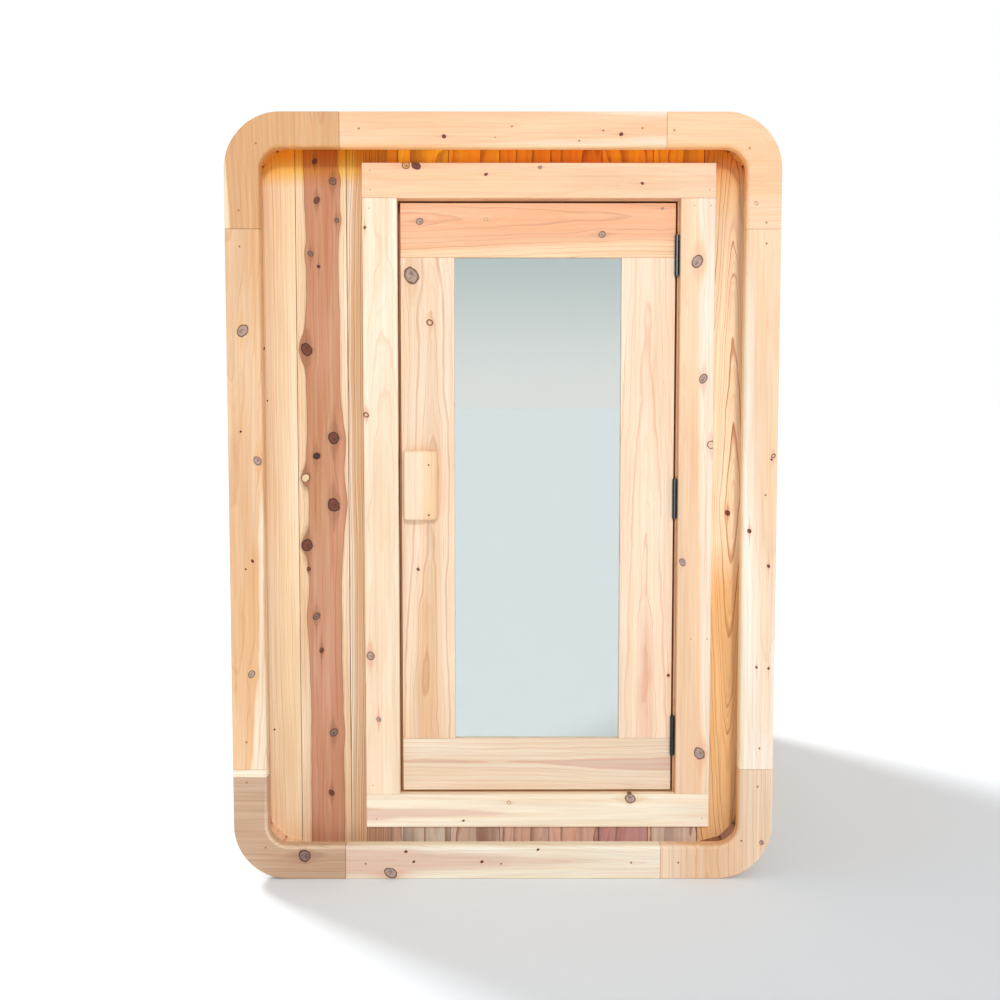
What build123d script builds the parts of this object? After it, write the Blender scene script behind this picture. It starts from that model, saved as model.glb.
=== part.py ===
"""Barrel sauna with a rounded rectangular section, in millimetres.

The origin is on the ground under the middle of the barrel.  +Z is up, +X is to the right of a person
who faces the door, and the door end faces -Y.
"""

import math
import os

from build123d import *

os.makedirs("parts", exist_ok=True)

# Overall size over the two end rims
overall_width = 1400
overall_height = 1965
overall_length = 1830

# End rims: a flat ring of eight boards at each end, its inner front edge rounded over
rim_face = 88
rim_thickness = 38
rim_corner_radius = 142
rim_corner_leg = 290
rim_roundover = 6
rim_edge_ease = 2.5

# Barrel: staves run from rim to rim, and three bevelled staves turn each corner
rim_overhang = 13
stave_thickness = 38
corner_leg = 198
corner_stave_width = 131
corner_stave_tilt = 15

# End walls of upright boards, set back behind the rims
wall_thickness = 38
wall_setback = 51

# Door leaf: two full-width rails, two stiles between them and a glass pane, placed from the rim's outer edges
leaf_from_left = 435
leaf_from_right = 254
leaf_from_top = 213
leaf_from_ground = 211
leaf_thickness = 38
door_rail_width = 139
door_stile_width = 139
pane_thickness = 8
pane_setback = 12
pane_groove = 10
pane_clearance = 0.3

# Door frame: rabbeted boards that line the doorway, with a stop behind the leaf
frame_board = 25
latch_gap = 7
hinge_gap = 5
top_gap = 5
bottom_gap = 5
stop_gap = 5
stop_lap = 12
stop_thickness = 12

# Casing: four flat boards round the doorway on the outside of the front wall
casing_face = 89
casing_thickness = 25.4
casing_edge_ease = 2
latch_reveal = 0
hinge_reveal = 5
top_reveal = 4
bottom_reveal = 0

# Butt hinges: five knuckles on a fixed pin, a plate on the frame and a plate on the leaf
hinge_height = 105
hinge_top_inset = 134
hinge_bottom_inset = 148
hinge_knuckles = 5
hinge_barrel_radius = 5.5
hinge_pin_radius = 3
hinge_pin_clearance = 0.05
hinge_knuckle_gap = 0.4
hinge_plate_thickness = 2
hinge_plate_depth = 30
hinge_standoff = 1
hinge_turning_room = 1

# Door handle: a moulded wooden pull with a finger cove on its inner side
handle_width = 90
handle_height = 180
handle_thickness = 42
handle_edge_inset = 6
handle_center_above_leaf_foot = 814
handle_start_shares = (0, 0.55)
handle_arc_shares = [
    ((0.055, 0.84), (0.2, 0.95)),
    ((0.34, 0.985), (0.5, 1)),
    ((0.66, 0.78), (0.84, 0.8)),
    ((0.95, 0.74), (1, 0.5)),
]

# Planes and lines that several pieces share
half_width = overall_width / 2
half_length = overall_length / 2
front_y = -half_length
rear_y = half_length
barrel_front_y = front_y + rim_thickness
barrel_length = overall_length - 2 * rim_thickness
wall_front_y = barrel_front_y + wall_setback
rear_wall_front_y = rear_y - rim_thickness - wall_setback - wall_thickness

leaf_left_x = leaf_from_left - half_width
leaf_right_x = half_width - leaf_from_right
leaf_bottom_z = leaf_from_ground
leaf_top_z = overall_height - leaf_from_top
pane_left_x = leaf_left_x + door_stile_width
pane_right_x = leaf_right_x - door_stile_width
pane_bottom_z = leaf_bottom_z + door_rail_width
pane_top_z = leaf_top_z - door_rail_width

frame_left_x = leaf_left_x - latch_gap
frame_right_x = leaf_right_x + hinge_gap
frame_bottom_z = leaf_bottom_z - bottom_gap
frame_top_z = leaf_top_z + top_gap
doorway_left_x = frame_left_x - frame_board
doorway_right_x = frame_right_x + frame_board
doorway_bottom_z = frame_bottom_z - frame_board
doorway_top_z = frame_top_z + frame_board
stop_front_y = wall_front_y + leaf_thickness + stop_gap
frame_depth = leaf_thickness + stop_gap + stop_thickness

casing_front_y = wall_front_y - casing_thickness
casing_in_left_x = frame_left_x - latch_reveal
casing_in_right_x = frame_right_x + hinge_reveal
casing_in_bottom_z = frame_bottom_z - bottom_reveal
casing_in_top_z = frame_top_z + top_reveal
casing_out_left_x = casing_in_left_x - casing_face
casing_out_right_x = casing_in_right_x + casing_face
casing_out_bottom_z = casing_in_bottom_z - casing_face
casing_out_top_z = casing_in_top_z + casing_face

hinge_x = (leaf_right_x + frame_right_x) / 2
hinge_y = wall_front_y - hinge_standoff - hinge_barrel_radius
hinge_high_z = leaf_top_z - hinge_top_inset
hinge_low_z = leaf_bottom_z + hinge_bottom_inset
hinge_places = [hinge_low_z, (hinge_low_z + hinge_high_z) / 2, hinge_high_z]


def upright(y):
    """Upright plane at depth y, seen from the door end: local x is +X and local y is +Z."""
    return Plane(origin=(0, y, 0), x_dir=(1, 0, 0), z_dir=(0, -1, 0))


def level(z):
    """Level plane at height z, with local x and y along +X and +Y."""
    return Plane.XY.offset(z)


def save(piece, name):
    """Label a finished piece and write it as one node."""
    piece.part.label = name
    export_step(piece.part, f"parts/{name}.step")


def box_outline(x_low, x_high, z_low, z_high):
    """Corners of an upright rectangle."""
    return [(x_low, z_low), (x_high, z_low), (x_high, z_high), (x_low, z_high)]


def add_slab(outline, y_front, thickness, mode=Mode.ADD):
    """Carry an upright outline back from y_front, in the open part."""
    with BuildSketch(upright(y_front)) as section:
        Polygon(*outline, align=None)
    extrude(section.sketch, amount=-thickness, mode=mode)


def save_slab(name, outline, y_front, thickness):
    """One flat board or panel as a node."""
    with BuildPart() as slab:
        add_slab(outline, y_front, thickness)
    save(slab, name)


# Barrel section: the inner outline, counter-clockwise from the right end of the floor
def barrel_outline():
    """Inner corners of the barrel as a closed list of points.

    Each corner leaves one flat face at corner_leg from the square corner, runs one stave width at the
    stave tilt, crosses the corner at 45 degrees and comes into the next flat face the same way.
    """
    half = half_width - rim_overhang - stave_thickness
    low = rim_overhang + stave_thickness
    high = overall_height - low
    run = corner_leg - corner_stave_width * math.cos(math.radians(corner_stave_tilt))
    rise = corner_stave_width * math.sin(math.radians(corner_stave_tilt))
    quarter = [(corner_leg, 0), (run, rise), (rise, run), (0, corner_leg)]
    points = []
    points += [(half - a, low + b) for a, b in quarter]
    points += [(half - a, high - b) for a, b in reversed(quarter)]
    points += [(a - half, high - b) for a, b in quarter]
    points += [(a - half, low + b) for a, b in reversed(quarter)]
    return [Vector(x, z) for x, z in points]


def outward_offset(points, distance):
    """Offset a counter-clockwise polygon outwards, with its corners mitred."""
    moved = []
    for index, point in enumerate(points):
        before = (point - points[index - 1]).normalized()
        after = (points[(index + 1) % len(points)] - point).normalized()
        normal_before = Vector(before.Y, -before.X)
        normal_after = Vector(after.Y, -after.X)
        miter = (normal_before + normal_after) / (1 + normal_before.dot(normal_after))
        moved.append(point + miter * distance)
    return moved


barrel_inside = barrel_outline()
barrel_outside = outward_offset(barrel_inside, stave_thickness)
barrel_ring = list(zip(barrel_inside, barrel_outside))


def save_staves(name, ring):
    """Staves over a stretch of the barrel's ring of inner and outer corners, as one node."""
    outline = [inner for inner, outer in ring] + [outer for inner, outer in reversed(ring)]
    save_slab(name, [(point.X, point.Y) for point in outline], barrel_front_y, barrel_length)


corner_names = ["floor_corner_right", "roof_corner_right", "roof_corner_left", "floor_corner_left"]
panel_names = ["right_side", "roof", "left_side", "floor"]
corner_points = len(barrel_ring) // len(corner_names)
corner_starts = range(0, len(barrel_ring), corner_points)
corner_rings = [barrel_ring[start:start + corner_points] for start in corner_starts]
for index, ring in enumerate(corner_rings):
    next_ring = corner_rings[(index + 1) % len(corner_rings)]
    save_staves(corner_names[index], ring)
    save_staves(panel_names[index], [ring[-1], next_ring[0]])


# End rims
def show_edges(piece, show_y):
    """Edges of the open piece that lie in its show face."""
    return piece.edges().filter_by_position(Axis.Y, show_y, show_y)


def save_rim_bar(name, outline, y_front, show_y, run, across, inward):
    """Straight rim board along the axis run, whose inner edge faces inward along the axis across."""
    with BuildPart() as bar:
        add_slab(outline, y_front, rim_thickness)
        fillet(show_edges(bar, show_y).filter_by(run).sort_by(across, reverse=inward < 0)[-1], rim_roundover)
        fillet(show_edges(bar, show_y).filter_by(run).sort_by(across, reverse=inward < 0)[0], rim_edge_ease)
    save(bar, name)


def save_rim_corner(name, side_x, side_z, y_front, show_y):
    """Corner rim block: two legs and a quarter turn, cut from one wide board."""
    inner_radius = rim_corner_radius - rim_face
    diagonal_share = math.sqrt(0.5)
    outer_bend = rim_corner_radius - rim_corner_radius * diagonal_share
    inner_bend = rim_corner_radius - inner_radius * diagonal_share
    far_z = overall_height if side_z > 0 else 0

    def at(a, b):
        """Point a in from the outer side and b in from the outer top or bottom."""
        return (side_x * (half_width - a), far_z - side_z * b)

    with BuildPart() as block:
        with BuildSketch(upright(y_front)) as section:
            with BuildLine():
                Line(at(0, rim_corner_leg), at(0, rim_corner_radius))
                ThreePointArc(at(0, rim_corner_radius), at(outer_bend, outer_bend), at(rim_corner_radius, 0))
                Line(at(rim_corner_radius, 0), at(rim_corner_leg, 0))
                Line(at(rim_corner_leg, 0), at(rim_corner_leg, rim_face))
                Line(at(rim_corner_leg, rim_face), at(rim_corner_radius, rim_face))
                ThreePointArc(at(rim_corner_radius, rim_face), at(inner_bend, inner_bend),
                              at(rim_face, rim_corner_radius))
                Line(at(rim_face, rim_corner_radius), at(rim_face, rim_corner_leg))
                Line(at(rim_face, rim_corner_leg), at(0, rim_corner_leg))
            make_face()
        extrude(section.sketch, amount=-rim_thickness)
        fillet(show_edges(block, show_y).filter_by(GeomType.CIRCLE).sort_by(SortBy.RADIUS)[0], rim_roundover)
        fillet(show_edges(block, show_y).filter_by(GeomType.CIRCLE).sort_by(SortBy.RADIUS)[-1], rim_edge_ease)
    save(block, name)


rim_straight_x = half_width - rim_corner_leg
rim_straight_top_z = overall_height - rim_corner_leg
rim_inside_x = half_width - rim_face
rim_inside_top_z = overall_height - rim_face
rim_bars = {
    "top": (box_outline(-rim_straight_x, rim_straight_x, rim_inside_top_z, overall_height),
            Axis.X, Axis.Z, -1),
    "bottom": (box_outline(-rim_straight_x, rim_straight_x, 0, rim_face),
               Axis.X, Axis.Z, 1),
    "left": (box_outline(-half_width, -rim_inside_x, rim_corner_leg, rim_straight_top_z),
             Axis.Z, Axis.X, 1),
    "right": (box_outline(rim_inside_x, half_width, rim_corner_leg, rim_straight_top_z),
              Axis.Z, Axis.X, -1),
}
for end, y_front, show_y in [("front", front_y, front_y), ("rear", rear_y - rim_thickness, rear_y)]:
    for side, (outline, run, across, inward) in rim_bars.items():
        save_rim_bar(f"{end}_rim_{side}", outline, y_front, show_y, run, across, inward)
    for row, side_z in [("top", 1), ("bottom", -1)]:
        for hand, side_x in [("left", -1), ("right", 1)]:
            save_rim_corner(f"{end}_rim_corner_{row}_{hand}", side_x, side_z, y_front, show_y)


# End walls: each closes the barrel's inner outline, and the front one is split round the doorway
wall_outline = [(point.X, point.Y) for point in barrel_inside]
wall_bays = {
    "front_wall_left": box_outline(-half_width, doorway_left_x, 0, overall_height),
    "front_wall_right": box_outline(doorway_right_x, half_width, 0, overall_height),
    "front_wall_under_door": box_outline(doorway_left_x, doorway_right_x, 0, doorway_bottom_z),
    "front_wall_over_door": box_outline(doorway_left_x, doorway_right_x, doorway_top_z, overall_height),
}
for name, bay in wall_bays.items():
    with BuildPart() as wall_bay:
        add_slab(wall_outline, wall_front_y, wall_thickness)
        add_slab(bay, wall_front_y, wall_thickness, mode=Mode.INTERSECT)
    save(wall_bay, name)

save_slab("rear_wall", wall_outline, rear_wall_front_y, wall_thickness)

# Door frame: head and sill run the full width, and the sides stand between them
stop_left_x = frame_left_x + stop_lap
stop_right_x = frame_right_x - stop_lap
stop_bottom_z = frame_bottom_z + stop_lap
stop_top_z = frame_top_z - stop_lap
frame_boards = {
    "door_frame_head": (box_outline(doorway_left_x, doorway_right_x, frame_top_z, doorway_top_z),
                        box_outline(frame_left_x, frame_right_x, stop_top_z, frame_top_z)),
    "door_frame_sill": (box_outline(doorway_left_x, doorway_right_x, doorway_bottom_z, frame_bottom_z),
                        box_outline(frame_left_x, frame_right_x, frame_bottom_z, stop_bottom_z)),
    "door_frame_latch_side": (box_outline(doorway_left_x, frame_left_x, frame_bottom_z, frame_top_z),
                              box_outline(frame_left_x, stop_left_x, stop_bottom_z, stop_top_z)),
    "door_frame_hinge_side": (box_outline(frame_right_x, doorway_right_x, frame_bottom_z, frame_top_z),
                              box_outline(stop_right_x, frame_right_x, stop_bottom_z, stop_top_z)),
}
for name, (board, stop) in frame_boards.items():
    with BuildPart() as frame_piece:
        add_slab(board, wall_front_y, frame_depth)
        add_slab(stop, stop_front_y, stop_thickness)
    save(frame_piece, name)

# Casing: head and foot run the full width, and the sides stand between them
casing_boards = {
    "casing_head": box_outline(casing_out_left_x, casing_out_right_x,
                               casing_in_top_z, casing_out_top_z),
    "casing_foot": box_outline(casing_out_left_x, casing_out_right_x,
                               casing_out_bottom_z, casing_in_bottom_z),
    "casing_latch_side": box_outline(casing_out_left_x, casing_in_left_x,
                                     casing_in_bottom_z, casing_in_top_z),
    "casing_hinge_side": box_outline(casing_in_right_x, casing_out_right_x,
                                     casing_in_bottom_z, casing_in_top_z),
}
for name, outline in casing_boards.items():
    with BuildPart() as casing_board:
        add_slab(outline, casing_front_y, casing_thickness)
        grain = Axis.X if name in ("casing_head", "casing_foot") else Axis.Z
        fillet(show_edges(casing_board, casing_front_y).filter_by(grain), casing_edge_ease)
    save(casing_board, name)

# Door leaf: the pane sits in a groove round the inner edges of the rails and stiles
pane_tongue = pane_groove - pane_clearance
pocket = box_outline(pane_left_x - pane_groove, pane_right_x + pane_groove,
                     pane_bottom_z - pane_groove, pane_top_z + pane_groove)
pane_front_y = wall_front_y + pane_setback
leaf_boards = {
    "door_top_rail": box_outline(leaf_left_x, leaf_right_x, pane_top_z, leaf_top_z),
    "door_bottom_rail": box_outline(leaf_left_x, leaf_right_x, leaf_bottom_z, pane_bottom_z),
    "door_latch_stile": box_outline(leaf_left_x, pane_left_x, pane_bottom_z, pane_top_z),
    "door_hinge_stile": box_outline(pane_right_x, leaf_right_x, pane_bottom_z, pane_top_z),
}
for name, outline in leaf_boards.items():
    with BuildPart() as leaf_board:
        add_slab(outline, wall_front_y, leaf_thickness)
        add_slab(pocket, pane_front_y, pane_thickness, mode=Mode.SUBTRACT)
    save(leaf_board, name)

save_slab("door_glass", box_outline(pane_left_x - pane_tongue, pane_right_x + pane_tongue,
                                    pane_bottom_z - pane_tongue, pane_top_z + pane_tongue),
          pane_front_y, pane_thickness)

# Door handle: a rounded edge, a crown, a finger cove and a lip over a flat back, carried upwards
handle_left_x = leaf_left_x + handle_edge_inset
handle_right_x = handle_left_x + handle_width
handle_bottom_z = leaf_bottom_z + handle_center_above_leaf_foot - handle_height / 2


def handle_point(shares):
    """Point of the handle's section from its shares of the width and of the thickness."""
    across_share, out_share = shares
    return (handle_left_x + across_share * handle_width, wall_front_y - out_share * handle_thickness)


with BuildPart() as handle:
    with BuildSketch(level(handle_bottom_z)) as handle_section:
        with BuildLine():
            start = handle_point(handle_start_shares)
            Line((handle_left_x, wall_front_y), start)
            for middle_shares, end_shares in handle_arc_shares:
                end = handle_point(end_shares)
                ThreePointArc(start, handle_point(middle_shares), end)
                start = end
            Line(start, (handle_right_x, wall_front_y))
            Line((handle_right_x, wall_front_y), (handle_left_x, wall_front_y))
        make_face()
    extrude(handle_section.sketch, amount=handle_height)
save(handle, "door_handle")

# Hinges: knuckles alternate along the pin, odd ones on the frame plate and even ones on the leaf plate
knuckle_pitch = hinge_height / hinge_knuckles
plate_front_y = hinge_y + hinge_barrel_radius + hinge_turning_room
plate_back_y = plate_front_y + hinge_plate_depth


def add_level_box(x_low, x_high, y_low, y_high, z_low, z_high):
    """Rectangular bar between two heights, in the open part."""
    with BuildSketch(level(z_low)) as section:
        Polygon((x_low, y_low), (x_high, y_low), (x_high, y_high), (x_low, y_high), align=None)
    extrude(section.sketch, amount=z_high - z_low)


def add_hinge_round(radius, z_low, z_high, mode=Mode.ADD):
    """Round bar or bore on the hinge axis between two heights, in the open part."""
    with BuildSketch(level(z_low)) as section:
        with Locations((hinge_x, hinge_y)):
            Circle(radius)
    extrude(section.sketch, amount=z_high - z_low, mode=mode)


def add_hinge_half(center_z, first_knuckle, plate_low_x, plate_high_x):
    """Plate with every second knuckle, starting from first_knuckle, in the open part."""
    bottom_z = center_z - hinge_height / 2
    add_level_box(plate_low_x, plate_high_x, plate_front_y, plate_back_y, bottom_z, bottom_z + hinge_height)
    for knuckle in range(first_knuckle, hinge_knuckles, 2):
        z_low = bottom_z + knuckle * knuckle_pitch + hinge_knuckle_gap / 2
        z_high = bottom_z + (knuckle + 1) * knuckle_pitch - hinge_knuckle_gap / 2
        add_hinge_round(hinge_barrel_radius, z_low, z_high)
        add_level_box(plate_low_x, plate_high_x, hinge_y, plate_front_y, z_low, z_high)


with BuildPart() as hinge_frame_leaves:
    for place in hinge_places:
        add_hinge_half(place, 0, frame_right_x - hinge_plate_thickness, frame_right_x)
        add_hinge_round(hinge_pin_radius, place - hinge_height / 2 + hinge_knuckle_gap / 2,
                        place + hinge_height / 2 - hinge_knuckle_gap / 2)
save(hinge_frame_leaves, "hinge_frame_leaves")

with BuildPart() as hinge_door_leaves:
    for place in hinge_places:
        add_hinge_half(place, 1, leaf_right_x, leaf_right_x + hinge_plate_thickness)
        add_hinge_round(hinge_pin_radius + hinge_pin_clearance, place - hinge_height / 2,
                        place + hinge_height / 2, mode=Mode.SUBTRACT)
save(hinge_door_leaves, "hinge_door_leaves")
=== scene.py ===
"""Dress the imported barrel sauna: eased boards, grooved walls and staves, moulded pull, hinges and glass."""

import math

import bpy
import numpy as np
from bpy.props import FloatProperty, FloatVectorProperty, IntProperty, PointerProperty
from bpy.types import Operator, Panel, PropertyGroup
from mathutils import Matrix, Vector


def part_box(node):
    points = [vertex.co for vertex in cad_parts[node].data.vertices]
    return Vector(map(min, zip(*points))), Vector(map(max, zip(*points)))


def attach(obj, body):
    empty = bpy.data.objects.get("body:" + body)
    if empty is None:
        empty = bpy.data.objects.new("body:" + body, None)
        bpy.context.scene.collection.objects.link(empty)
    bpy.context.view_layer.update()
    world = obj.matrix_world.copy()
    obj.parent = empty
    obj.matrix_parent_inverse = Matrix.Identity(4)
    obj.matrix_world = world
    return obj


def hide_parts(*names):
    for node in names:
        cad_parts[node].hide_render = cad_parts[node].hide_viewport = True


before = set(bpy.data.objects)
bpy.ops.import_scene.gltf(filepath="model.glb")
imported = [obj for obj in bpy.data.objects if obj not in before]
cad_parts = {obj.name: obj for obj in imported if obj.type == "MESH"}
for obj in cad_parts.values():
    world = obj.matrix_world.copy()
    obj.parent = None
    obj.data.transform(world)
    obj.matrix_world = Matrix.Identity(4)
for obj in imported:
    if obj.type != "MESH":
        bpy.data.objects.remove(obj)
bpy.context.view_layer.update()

bl_info = {
    "name": "Barrel sauna",
    "version": (1, 0, 0),
    "blender": (4, 5, 0),
    "location": "3D View > Sidebar > Sauna",
    "description": "Boards, staves, door and finishes of a barrel sauna, built round its packed solids",
    "category": "Object",
}

X, Y, Z = 0, 1, 2
SMOOTH_ANGLE = math.radians(26)
ARC_STEPS = 5
SUPPORT = 0.0004
LEAST_EASE = 0.0002
CORNER_STEPS = 28
WALL_STEPS = 14
SEED = 11


def colour_prop(label, about, red, green, blue):
    """A colour that a user may change, written as it shows on screen, 0 to 255."""
    return FloatVectorProperty(
        name=label,
        description=about,
        subtype="COLOR_GAMMA",
        size=3,
        min=0.0,
        max=1.0,
        default=(red / 255, green / 255, blue / 255),
    )


def number_prop(label, about, value, **more):
    """A number that a user may change."""
    return FloatProperty(name=label, description=about, default=value, **more)


def length_prop(label, about, metres):
    """A length that a user may change, in metres."""
    return number_prop(label, about, metres, min=0.0, unit="LENGTH", precision=5)


def count_prop(label, about, value):
    """A number of pieces that a user may change."""
    return IntProperty(name=label, description=about, default=value, min=1)


class SaunaSizes(PropertyGroup):
    """Sizes of the detail that the pieces add to the solids."""

    edge_ease: length_prop("Edge ease", "Rounding of a board's long edges", 0.0025)
    rim_round: length_prop("Rim roundover", "Rounding of the rim's inner front edge", 0.0090)
    joint_width: length_prop("Joint width", "How far a board's end steps back at a joint", 0.0007)
    joint_depth: length_prop("Joint depth", "How deep a board's end steps in at a joint", 0.0028)
    rim_radius: length_prop("Rim corner radius", "Outer radius of the rim's corner blocks", 0.142)
    face_setback: length_prop("Rim setback", "How far the rim's face lies behind its nail heads", 0.0003)
    wall_pitch: length_prop("Wall board width", "Spacing of the joints between wall boards", 0.1315)
    wall_start: number_prop("Wall joint", "X of one joint between wall boards", -0.0085, unit="LENGTH")
    groove: length_prop("Joint groove", "Chamfer of a stave's long edges", 0.0042)
    slot: length_prop("Joint slot", "Half the width of the groove at a wall joint", 0.0009)
    slot_depth: length_prop("Joint slot depth", "Depth of the groove at a wall joint", 0.0150)
    roof_staves: count_prop("Roof staves", "Staves across the roof or floor", 7)
    side_staves: count_prop("Side staves", "Staves up one side", 11)
    facet_width: length_prop("Corner stave width", "Width of a corner stave beside a flat", 0.131)
    facet_turn: number_prop(
        "Corner turn", "Turn between a flat and its corner stave", math.radians(15), subtype="ANGLE"
    )
    nail_radius: length_prop("Nail head radius", "Radius of a nail head", 0.0028)
    pull_ease: length_prop("Pull ease", "Rounding of the door pull's ends", 0.007)


class SaunaColours(PropertyGroup):
    """Finishes, as they show on screen."""

    cream: colour_prop("Cream", "Palest sapwood", 250, 230, 203)
    pale: colour_prop("Pale", "Pale sapwood", 249, 220, 187)
    peach: colour_prop("Peach", "Light heartwood", 249, 206, 163)
    tan: colour_prop("Tan", "Tan heartwood", 233, 187, 142)
    salmon: colour_prop("Salmon", "Salmon heartwood", 246, 182, 140)
    pink: colour_prop("Pink", "Pink heartwood", 232, 170, 140)
    red: colour_prop("Red", "Red heartwood", 203, 143, 113)
    amber: colour_prop("Amber", "Amber heartwood", 231, 172, 108)
    fawn: colour_prop("Fawn", "Fawn heartwood", 227, 177, 132)
    blush: colour_prop("Blush", "Blushed heartwood", 230, 192, 167)
    brown: colour_prop("Brown", "Brown heartwood", 190, 128, 88)
    knot_ring: colour_prop("Knot ring", "Ring of a small light knot", 96, 46, 26)
    drab: colour_prop("Drab", "Grey tan wood", 198, 163, 134)
    umber: colour_prop("Umber", "Dark growth lines", 150, 100, 68)
    knot_dark: colour_prop("Dark knot", "Core of a dark knot", 124, 64, 42)
    knot_slate: colour_prop("Slate knot", "Core of a slate knot", 146, 116, 106)
    knot_grey: colour_prop("Grey knot", "Core of a grey knot", 192, 163, 146)
    knot_edge: colour_prop("Dark knot edge", "Ring and crack of a dark knot", 68, 38, 28)
    knot_rim: colour_prop("Pale knot edge", "Ring and crack of a pale knot", 104, 72, 60)
    plug: colour_prop("Plug", "Core of a small round knot", 240, 206, 170)
    nail: colour_prop("Nail", "Nail heads", 168, 118, 56)
    hinge: colour_prop("Hinge", "Blackened steel", 52, 53, 53)
    # The hinge crown colour is a painted highlight, the sky's reflection painted along the hinge barrels
    hinge_glint: colour_prop("Worn hinge", "Steel that shows along the crown of a hinge", 132, 148, 160)
    glass: colour_prop("Glass", "Tint of the pane", 226, 231, 228)
    sky: colour_prop("Surround", "Upper surround that glass and metal reflect", 210, 221, 222)
    floor: colour_prop("Floor", "Studio floor", 243, 249, 254)


class SaunaStage(PropertyGroup):
    """Camera and light."""

    camera_place: FloatVectorProperty(
        name="Camera", description="Where the camera stands", default=(-0.0178, -4.315, 1.254), subtype="XYZ"
    )
    camera_tilt: number_prop("Tilt", "How far the camera looks down", 0.0770, subtype="ANGLE")
    camera_turn: number_prop("Turn", "How far the camera turns to its left", -0.0029, subtype="ANGLE")
    lens: number_prop("Lens", "Focal length for a 36 mm frame", 48.1, unit="CAMERA")
    key_power: number_prop("Key", "Strength of the lamp in front", 1.05)
    fill_power: number_prop("Fill", "Strength of the broad lamp at the right", 0.32)
    back_power: number_prop("Back", "Strength of the lamp behind", 2.6)
    ambient: number_prop("Ambient", "Strength of the light from all round", 0.36)


SCREEN_KNEE = 0.04045
SCREEN_SLOPE = 12.92
SCREEN_LIFT = 0.055
SCREEN_POWER = 2.4


def sizes():
    """The sizes in use."""
    return bpy.context.scene.sauna_sizes


def shade(name):
    """A named finish in linear light: the straight part of the screen curve, then its power part."""
    values = np.array(getattr(bpy.context.scene.sauna_colours, name), dtype=float)
    curved = ((values + SCREEN_LIFT) / (1.0 + SCREEN_LIFT)) ** SCREEN_POWER
    light = np.where(values <= SCREEN_KNEE, values / SCREEN_SLOPE, curved)
    return (*light.tolist(), 1.0)


# Node trees


class Signal:
    """An output in a node tree that takes plain arithmetic: each sign adds one Math node."""

    def __init__(self, tree, socket):
        self.tree = tree
        self.socket = socket

    def __add__(self, other):
        return calc("ADD", self, other)

    def __sub__(self, other):
        return calc("SUBTRACT", self, other)

    def __rsub__(self, other):
        return calc("SUBTRACT", other, self)

    def __mul__(self, other):
        return calc("MULTIPLY", self, other)

    def __truediv__(self, other):
        return calc("DIVIDE", self, other)

    def __abs__(self):
        return calc("ABSOLUTE", self)

    def clamped(self):
        """The same signal, held between 0 and 1 by the Math node that makes it."""
        self.socket.node.use_clamp = True
        return self


def put(tree, kind, inputs=None, **settings):
    """The output signals of one new node, by number and by name; each input is a value or a signal."""
    made = tree.nodes.new(kind)
    for key, value in settings.items():
        setattr(made, key, value)
    for key, value in (inputs or {}).items():
        if isinstance(value, Signal):
            tree.links.new(value.socket, made.inputs[key])
        else:
            made.inputs[key].default_value = value
    signals = [Signal(tree, socket) for socket in made.outputs]
    return {**{signal.socket.name: signal for signal in signals}, **dict(enumerate(signals))}


def tree_of(*values):
    """The node tree of the first signal among some values."""
    return next(value.tree for value in values if isinstance(value, Signal))


def calc(operation, *values):
    """Result of one Math node."""
    return put(tree_of(*values), "ShaderNodeMath", dict(enumerate(values)), operation=operation)[0]


def vector(operation, first, second):
    """Result of one Vector Math node; to SCALE, the second value is a number."""
    inputs = {0: first, "Scale" if operation == "SCALE" else 1: second}
    made = put(tree_of(first, second), "ShaderNodeVectorMath", inputs, operation=operation)
    return made["Value" if operation == "DOT_PRODUCT" else "Vector"]


def split(value):
    """The three parts of a vector."""
    made = put(value.tree, "ShaderNodeSeparateXYZ", {0: value})
    return made[0], made[1], made[2]


def highest(first, second):
    """The higher of two signals."""
    return calc("MAXIMUM", first, second)


def squared(value):
    """A signal times itself."""
    return value * value


def length_of(first, second):
    """Length of a vector with two parts."""
    return calc("SQRT", squared(first) + squared(second))


def ramp(value, start, end, low=0.0, high=1.0):
    """A smooth step from low at start to high at end."""
    inputs = {"Value": value, "From Min": start, "From Max": end, "To Min": low, "To Max": high}
    return put(value.tree, "ShaderNodeMapRange", inputs, interpolation_type="SMOOTHSTEP", clamp=True)[0]


def mix(share, first, second, blend="MIX"):
    """Colour mix of first and second by share."""
    inputs = {0: share, 6: first, 7: second}
    return put(tree_of(share, first, second), "ShaderNodeMix", inputs, data_type="RGBA", blend_type=blend)[2]


def noise(place, scales, detail=2.0, rough=0.5):
    """A noise texture read at a place times three scales."""
    where = vector("MULTIPLY", place, scales)
    inputs = {"Vector": where, "Scale": 1.0, "Detail": detail, "Roughness": rough}
    return put(place.tree, "ShaderNodeTexNoise", inputs)


def bumped(height, strength, distance):
    """The normal that a height gives."""
    inputs = {"Height": height, "Strength": strength, "Distance": distance}
    return put(height.tree, "ShaderNodeBump", inputs)[0]


def object_place(tree):
    """Place in the object's own frame."""
    return put(tree, "ShaderNodeTexCoord")["Object"]


def new_group(name, inputs, outputs):
    """An empty shader group and the signals of its inputs; sockets are listed by kind."""
    tree = bpy.data.node_groups.new(name, "ShaderNodeTree")
    for way, kinds in (("INPUT", inputs), ("OUTPUT", outputs)):
        for kind, labels in kinds.items():
            for label in labels:
                tree.interface.new_socket(label, in_out=way, socket_type=f"NodeSocket{kind}")
    return tree, put(tree, "NodeGroupInput")


def shared_group(name, build):
    """The named node group, built on first use."""
    return bpy.data.node_groups.get(name) or build()


def new_material(name):
    """An empty material and its node tree."""
    material = bpy.data.materials.new(name)
    material.use_nodes = True
    material.node_tree.nodes.clear()
    return material, material.node_tree


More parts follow.
